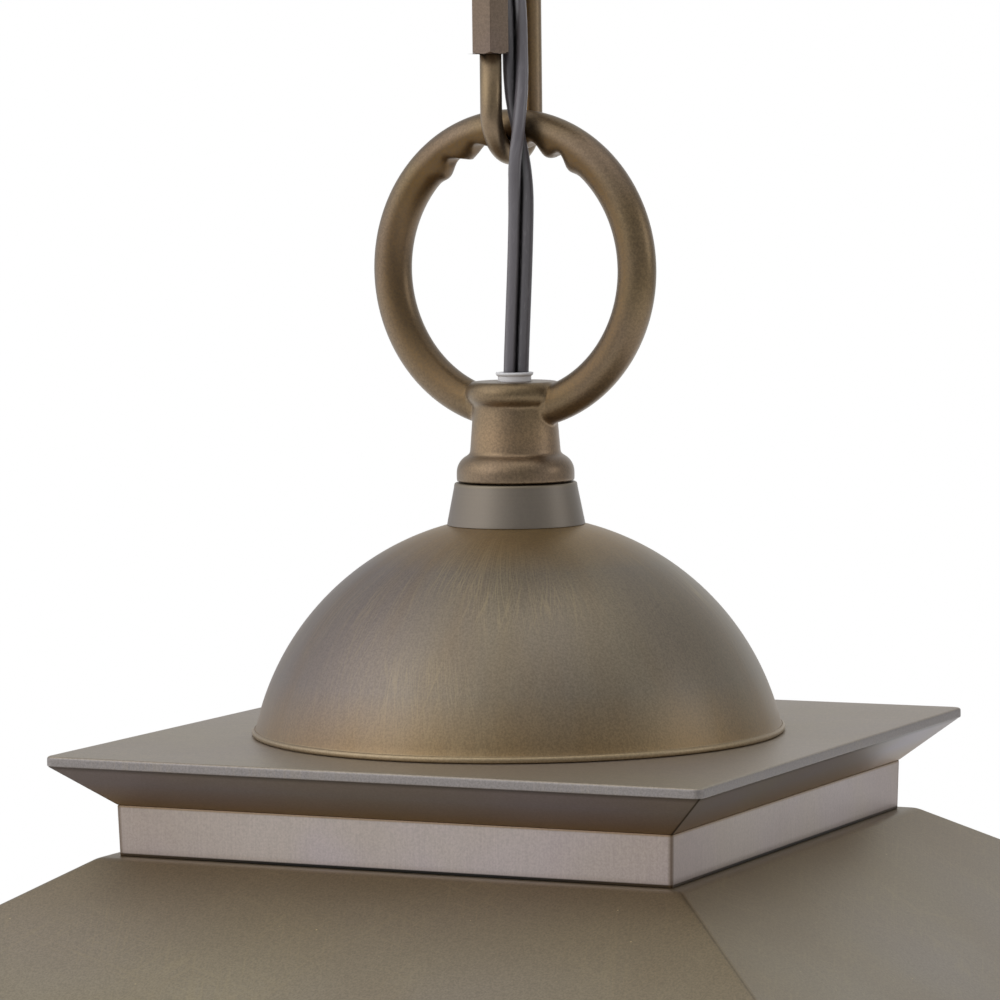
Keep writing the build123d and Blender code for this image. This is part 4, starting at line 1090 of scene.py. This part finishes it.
def ridge_tree(material):
    """Geometry Nodes: ridges set round a ring, each standing upright and facing out."""
    tree = bpy.data.node_groups.new("Knurl ridges", "GeometryNodeTree")
    add = partial(add_node, tree)
    tree.interface.new_socket("Geometry", in_out="OUTPUT", socket_type="NodeSocketGeometry")
    wanted = {}
    for label, kind in (("Count", "NodeSocketInt"), ("Ring radius", "NodeSocketFloat"),
                        ("Ridge size", "NodeSocketVector"), ("Middle", "NodeSocketVector")):
        wanted[label] = tree.interface.new_socket(label, in_out="INPUT", socket_type=kind).identifier
    given = add("NodeGroupInput")
    circle = add("GeometryNodeMeshCircle", {"Vertices": given["Count"], "Radius": given["Ring radius"]})
    bar = add("GeometryNodeMeshCube", {"Size": given["Ridge size"]})
    spot = add("GeometryNodeInputPosition")[0]
    aim = add("FunctionNodeAlignRotationToVector", {"Vector": spot}, axis="X")[0]
    # A square bar on its edge gives the ridge its V shape
    roll = add("FunctionNodeRotateRotation", (aim, (0.0, 0.0, pi / 4)), rotation_space="LOCAL")[0]
    many = add("GeometryNodeInstanceOnPoints", {
        "Points": circle["Mesh"], "Instance": bar["Mesh"], "Rotation": roll})[0]
    moved = add("GeometryNodeTransform", {"Geometry": many, "Translation": given["Middle"]})[0]
    real = add("GeometryNodeRealizeInstances", (moved,))[0]
    coated = add("GeometryNodeSetMaterial", {"Geometry": real, "Material": material})[0]
    add("NodeGroupOutput", (coated,))
    return tree, wanted


def make_knurl(sizes):
    """The knurled ridges round the ring that holds the canopy."""
    low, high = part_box("canopy_ring_nut")
    piece = placed("ring_nut_knurl", bpy.data.meshes.new("knurl"))
    tree, wanted = ridge_tree(finishes["collar"])
    ridges = piece.modifiers.new("Knurl", "NODES")
    ridges.node_group = tree
    side = 2 * (sizes.knurl_height + knurl_sunk * mm) / sqrt(2)
    ridges[wanted["Count"]] = sizes.knurl_count
    ridges[wanted["Ring radius"]] = (high.x - low.x) / 2 - knurl_sunk * mm
    ridges[wanted["Ridge size"]] = (side, side, 0.62 * (high.z - low.z))
    ridges[wanted["Middle"]] = tuple((low + high) / 2)
    settle(piece)
    piece.data.materials.clear()
    piece.data.materials.append(finishes["collar"])
    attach(piece, "ceiling")


def make_canopy(sizes):
    """The canopy, its knurled ring and the crossbar, nipple, nut and screw inside it."""
    dressed("canopy", "canopy", 0.25 * mm)
    dressed("canopy_ring_nut", "collar")
    make_knurl(sizes)
    dressed("crossbar", "zinc", 0.2 * mm)
    dressed("canopy_lock_nut", "zinc", 0.2 * mm)
    dressed("canopy_nipple", "zinc")
    dressed("ground_screw", "brass", 0.1 * mm)


# Cage, door and lamps

def make_cage(sizes):
    """The moulded frames, corner posts, panes, floor tray, pan and finial."""
    edge = sizes.edge_radius
    for node in ("cornice_frame", "sill_frame", "base_tray", "base_pan"):
        dressed(node, "frame", 1.4 * edge)
    for side in ("front_left", "front_right", "back_left", "back_right"):
        dressed("post_" + side, "frame", edge)
    for node in ("glass_left", "glass_right", "glass_back"):
        dressed(node, "glass", 0.5 * edge)
    dressed("bottom_finial", "cast")


def make_door(sizes):
    """The glazed door, its hinges, knob and spring catch."""
    dressed("door_frame", "frame", sizes.edge_radius)
    dressed("door_glass", "glass", 0.5 * sizes.edge_radius)
    dressed("door_leaves", "frame")
    dressed("post_leaves", "frame")
    dressed("hinge_pins", "brass")
    dressed("door_knob", "cast")
    dressed("door_catch", "brass", 0.1 * mm)


def make_lamps(sizes):
    """The lamp cluster on its stem, with sleeves, sockets and clear flame-shaped lamps."""
    dressed("stem", "frame")
    dressed("cluster_body", "cast")
    dressed("cluster_knob", "cast")
    dressed("cluster_arms", "frame")
    dressed("drip_cups", "frame", 0.15 * mm)
    dressed("candle_sleeves", "candle", 0.2 * mm)
    dressed("sockets", "socket", 0.2 * mm)
    dressed("lamp_bases", "steel")
    low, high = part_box("lamp_bulbs")
    foot = (low.z - plate_z) / mm
    rise = (high.z - low.z) / mm
    smooth = spline_through(lamp_neck + [(r, share * rise) for r, share in flame_profile], 6)
    outline = ([(r, foot + z) for r, z in smooth]
               + [(max(0.3, r - lamp_wall), foot + z - 0.3) for r, z in reversed(smooth)])
    mount = [(r, foot + z) for r, z in mount_profile]
    envelope = bmesh.new()
    wires = bmesh.new()
    for x, y in bulb_spots():
        copy_into(envelope, turned(outline, 48, (x, y)))
        copy_into(envelope, turned(mount, 24, (x, y)))
        for side in (-1, 1):
            lead = [Vector((x + side * 1.0, y, foot + lead_foot)),
                    Vector((x + side * filament_half, y, foot + filament_rise))]
            copy_into(wires, tube_along(lead, 0.22, 8))
        coil = filament_path(x, y, foot + filament_rise, sizes.filament_radius / mm)
        copy_into(wires, tube_along(coil, 0.12))
    as_piece("lamp_envelopes", to_mesh("envelopes", envelope), "bulb", ["lamp_bulbs"], sharp=60)
    as_piece("lamp_filaments", to_mesh("filaments", wires), "steel", body="lantern",
             slot=node_slot["lamp_bases"], sharp=60)


def bulb_spots():
    """Middles of the lamps, in mm, read from the lamp bases' solids."""
    shape = merged("lamp_bases", 0)
    spots = []
    for v in shape.verts:
        for total in spots:
            if (Vector(total[:2]) / total[2] - v.co.xy).length < 15 * mm:
                total[0] += v.co.x
                total[1] += v.co.y
                total[2] += 1
                break
        else:
            spots.append([v.co.x, v.co.y, 1])
    shape.free()
    return [(x / n / mm, y / n / mm) for x, y, n in spots]


def spline_through(points, steps):
    """Smooth line through points, by the rule of four neighbours."""
    padded = [points[0]] + list(points) + [points[-1]]
    line = []
    for a, b, c, d in zip(padded, padded[1:], padded[2:], padded[3:]):
        for k in range(steps):
            t = k / steps
            line.append(tuple(0.5 * (2 * q + (r - p) * t + (2 * p - 5 * q + 4 * r - s) * t * t
                                     + (3 * q - p - 3 * r + s) * t ** 3) for p, q, r, s in zip(a, b, c, d)))
    return line + [points[-1]]


def copy_into(target, source):
    """Adds one bmesh to another and frees it."""
    mesh = as_mesh("part", source)
    target.from_mesh(mesh)
    bpy.data.meshes.remove(mesh)


def filament_path(x, y, z, radius):
    """A fine coil bowed over the lamp's two lead wires."""
    turns, steps = 14, 10
    points = []
    for i in range(turns * steps + 1):
        t = i / (turns * steps)
        arc = pi * t
        a = tau * turns * t
        middle = Vector((x - filament_half * cos(arc), y, z + filament_bow * sin(arc)))
        across = Vector((0.0, 1.0, 0.0))
        out = Vector((-cos(arc), 0.0, sin(arc)))
        points.append(middle + radius * (cos(a) * across + sin(a) * out))
    return points


def tube_along(points, radius, sides=5):
    """A thin round tube that follows points in mm above the plate."""
    shape = bmesh.new()
    rings = []
    for i, point in enumerate(points):
        tangent = (points[min(i + 1, len(points) - 1)] - points[max(i - 1, 0)]).normalized()
        one = tangent.orthogonal().normalized()
        if rings:
            one = (before - tangent * before.dot(tangent)).normalized()
        before = one
        two = tangent.cross(one)
        ring = []
        for k in range(sides):
            a = tau * k / sides
            p = point + radius * (cos(a) * one + sin(a) * two)
            ring.append(shape.verts.new((p.x * mm, p.y * mm, plate_z + p.z * mm)))
        rings.append(ring)
    for one_ring, two_ring in zip(rings, rings[1:]):
        for k in range(sides):
            n = (k + 1) % sides
            shape.faces.new((one_ring[k], one_ring[n], two_ring[n], two_ring[k]))
    shape.faces.new(list(reversed(rings[0])))
    shape.faces.new(rings[-1])
    return shape


# Stage, in metres

camera_place = (0.503755, -1.068357, -0.209314)
camera_right = (0.90340632, 0.42863045, -0.01153122)
camera_up = (-0.02063313, 0.07031772, 0.99731123)
camera_back = (0.42828881, -0.90073934, 0.07236946)
camera_lens = 177.67
floor_z = -0.85
floor_r = 2.5
room_level = 0.17
patch_spread = 7.0
# The white backdrop as the metal shows it: (heading in degrees, rise in degrees, level, spread)
backdrop_patch = (100.0, 0.0, 0.75, 3.5)
# Soft patches of light, as (heading in degrees, rise in degrees, level)
light_patches = ((-180.0, -40.0, 1.36), (-140.0, -40.0, 0.60), (-180.0, 0.0, 0.32), (-140.0, 0.0, 0.30),
                 (-20.0, 0.0, 0.20), (20.0, 0.0, 0.12), (-140.0, 35.0, 1.1), (-100.0, 35.0, 0.5),
                 (-180.0, 35.0, 0.15), (0.0, 80.0, 1.05), (0.0, -80.0, 0.3))
# Soft boxes, as (name, place, width, power in watts), which all face the lantern's middle
soft_boxes = (("key softbox", (-0.92, -1.49, 0.37), 0.7, 0.95), ("fill softbox", (1.7, 0.5, 0.2), 0.8, 2.4))
lantern_middle = Vector((0.0, 0.0, -0.40))


def make_camera():
    """The camera, where the lines of the lantern in the photograph put it."""
    camera = bpy.data.cameras.new("camera")
    camera.lens = camera_lens
    camera.sensor_width = 36.0
    camera.clip_start = 0.05
    camera.clip_end = 60.0
    eye = placed("camera", camera)
    turn = Matrix((camera_right, camera_up, camera_back)).transposed().to_4x4()
    eye.matrix_world = Matrix.Translation(camera_place) @ turn
    bpy.context.scene.camera = eye


def seen_straight(add):
    """The light paths, and whether the eye looks straight or through glass."""
    rays = add("ShaderNodeLightPath")
    looks = (rays["Is Camera Ray"], rays["Is Transmission Ray"])
    return rays, add("ShaderNodeMath", looks, operation="MAXIMUM")[0]


def make_floor():
    """A pale floor that shows white to the eye and keeps the lantern's soft shadow."""
    shape = bmesh.new()
    bmesh.ops.create_circle(shape, cap_ends=True, segments=96, radius=floor_r)
    for v in shape.verts:
        v.co.z = floor_z
    mesh = as_mesh("floor", shape)
    floor = placed("floor", mesh)
    material, add = new_material("Pale studio floor")
    out = distance_out(add, add("ShaderNodeSeparateXYZ", (add("ShaderNodeTexCoord")["Object"],)))
    fade = add("ShaderNodeMapRange", (out, 0.5, 2.2, 0.6, 1.0))[0]
    rays, straight = seen_straight(add)
    looked_at = add("ShaderNodeMath", (straight, rays["Is Glossy Ray"]), operation="MAXIMUM")[0]
    seen = add("ShaderNodeMath", (fade, looked_at), operation="MULTIPLY")[0]
    pale = add("ShaderNodeBsdfDiffuse", {"Color": four(linear("#e9e8e6"))})[0]
    bright = add("ShaderNodeEmission", {"Color": (1.0, 1.0, 1.0, 1.0), "Strength": 1.0})[0]
    both = add("ShaderNodeMixShader", (seen, pale, bright))[0]
    add("ShaderNodeOutputMaterial", (both,))
    mesh.materials.append(material)


def patch(add, way, heading, rise, level, spread):
    """A soft round patch of light: level at its middle, falling off with the spread."""
    across = cos(radians(rise))
    middle = (across * cos(radians(heading)), across * sin(radians(heading)), sin(radians(rise)))
    facing = add("ShaderNodeVectorMath", (way, middle), operation="DOT_PRODUCT")["Value"]
    power = add("ShaderNodeMath", (facing, spread, -spread), operation="MULTIPLY_ADD")[0]
    fall = add("ShaderNodeMath", (power,), operation="EXPONENT")[0]
    return add("ShaderNodeMath", (fall, level), operation="MULTIPLY")[0]


def make_light():
    """A white backdrop, soft patches of light round a dim room, and two soft boxes."""
    scene = bpy.context.scene
    world = bpy.data.worlds.new("studio")
    scene.world = world
    world.use_nodes = True
    world.node_tree.nodes.clear()
    add = partial(add_node, world.node_tree)
    way = add("ShaderNodeNewGeometry")["Position"]
    way = add("ShaderNodeVectorMath", (way,), operation="NORMALIZE")[0]
    level = room_level
    for heading, rise, strength in light_patches:
        spot = patch(add, way, heading, rise, strength, patch_spread)
        level = add("ShaderNodeMath", (spot, level), operation="ADD")[0]
    surround = add("ShaderNodeBackground", {"Color": level, "Strength": 1.0})[0]
    white = add("ShaderNodeBackground", {"Color": (1.0, 1.0, 1.0, 1.0), "Strength": 1.0})[0]
    rays, straight = seen_straight(add)
    # The metal shows the white backdrop too, where it stands behind the lantern
    behind = patch(add, way, *backdrop_patch)
    backdrop = add("ShaderNodeMath", (behind, rays["Is Glossy Ray"]), operation="MULTIPLY")[0]
    shown = add("ShaderNodeMath", (straight, backdrop), operation="MAXIMUM")[0]
    both = add("ShaderNodeMixShader", (shown, surround, white))[0]
    add("ShaderNodeOutputWorld", (both,))
    for name, place, width, power in soft_boxes:
        light = bpy.data.lights.new(name, "AREA")
        light.shape = "SQUARE"
        light.size = width
        light.energy = power
        look = (lantern_middle - Vector(place)).to_track_quat("-Z", "Y")
        placed(name, light).matrix_world = Matrix.Translation(place) @ look.to_matrix().to_4x4()
    scene.view_settings.view_transform = "Standard"


# Add-on

class LANTERN_OT_stage(bpy.types.Operator):
    """Sets up the camera, the floor and the studio light"""
    bl_idname = "lantern.stage"
    bl_label = "Stage"

    def execute(self, context):
        make_camera()
        make_floor()
        make_light()
        return {"FINISHED"}


class LANTERN_OT_finishes(bpy.types.Operator):
    """Makes the metals, glass and plastics that the pieces wear"""
    bl_idname = "lantern.finishes"
    bl_label = "Finishes"

    def execute(self, context):
        make_finishes(context.scene.lantern_colours)
        return {"FINISHED"}


class LANTERN_OT_cord(bpy.types.Operator):
    """Makes the flat twin cord"""
    bl_idname = "lantern.cord"
    bl_label = "Cord"

    def execute(self, context):
        make_cord(context.scene.lantern_sizes)
        return {"FINISHED"}


class LANTERN_OT_loop(bpy.types.Operator):
    """Makes the cast ring, bushing and collar"""
    bl_idname = "lantern.loop"
    bl_label = "Ring and hub"

    def execute(self, context):
        make_ring(context.scene.lantern_sizes)
        make_bushing()
        make_collar()
        return {"FINISHED"}


class LANTERN_OT_cap(bpy.types.Operator):
    """Makes the dome, cap plate, soffit and band"""
    bl_idname = "lantern.cap"
    bl_label = "Cap"

    def execute(self, context):
        make_dome()
        make_cap_sheets()
        return {"FINISHED"}


class LANTERN_OT_roof(bpy.types.Operator):
    """Makes the hipped roof and its inside"""
    bl_idname = "lantern.roof"
    bl_label = "Roof"

    def execute(self, context):
        make_roof(context.scene.lantern_sizes)
        return {"FINISHED"}


class LANTERN_OT_chain(bpy.types.Operator):
    """Finishes the links and the quick link"""
    bl_idname = "lantern.chain"
    bl_label = "Chain"

    def execute(self, context):
        make_chain()
        return {"FINISHED"}


class LANTERN_OT_canopy(bpy.types.Operator):
    """Finishes the canopy and its fixings"""
    bl_idname = "lantern.canopy"
    bl_label = "Canopy"

    def execute(self, context):
        make_canopy(context.scene.lantern_sizes)
        return {"FINISHED"}


class LANTERN_OT_cage(bpy.types.Operator):
    """Finishes the frames, posts and panes"""
    bl_idname = "lantern.cage"
    bl_label = "Cage"

    def execute(self, context):
        make_cage(context.scene.lantern_sizes)
        return {"FINISHED"}


class LANTERN_OT_door(bpy.types.Operator):
    """Finishes the door and its hinges"""
    bl_idname = "lantern.door"
    bl_label = "Door"

    def execute(self, context):
        make_door(context.scene.lantern_sizes)
        return {"FINISHED"}


class LANTERN_OT_lamps(bpy.types.Operator):
    """Makes the lamps and finishes their cluster"""
    bl_idname = "lantern.lamps"
    bl_label = "Lamps"

    def execute(self, context):
        make_lamps(context.scene.lantern_sizes)
        return {"FINISHED"}


class LANTERN_PT_panel(bpy.types.Panel):
    """Lists the lantern's pieces, sizes and colours"""
    bl_idname = "LANTERN_PT_panel"
    bl_label = "Lantern"
    bl_space_type = "VIEW_3D"
    bl_region_type = "UI"
    bl_category = "Lantern"

    def draw(self, context):
        column = self.layout.column()
        for group in (context.scene.lantern_sizes, context.scene.lantern_colours):
            for name in group.__annotations__:
                column.prop(group, name)
        for operator in order:
            column.operator(operator.bl_idname)


order = [LANTERN_OT_finishes, LANTERN_OT_stage, LANTERN_OT_cord, LANTERN_OT_loop, LANTERN_OT_cap,
         LANTERN_OT_roof, LANTERN_OT_chain, LANTERN_OT_canopy, LANTERN_OT_cage, LANTERN_OT_door,
         LANTERN_OT_lamps]
classes = [LanternSizes, LanternColours] + order + [LANTERN_PT_panel]


def register():
    """Registers the classes and hangs the settings on the scene."""
    for cls in classes:
        bpy.utils.register_class(cls)
    bpy.types.Scene.lantern_sizes = bpy.props.PointerProperty(type=LanternSizes)
    bpy.types.Scene.lantern_colours = bpy.props.PointerProperty(type=LanternColours)


def unregister():
    """Takes the settings and the classes away again."""
    del bpy.types.Scene.lantern_colours
    del bpy.types.Scene.lantern_sizes
    for cls in reversed(classes):
        bpy.utils.unregister_class(cls)


def main():
    """Makes everything in order."""
    register()
    for operator in order:
        group, name = operator.bl_idname.split(".")
        getattr(getattr(bpy.ops, group), name)()


if __name__ == "__main__":
    main()
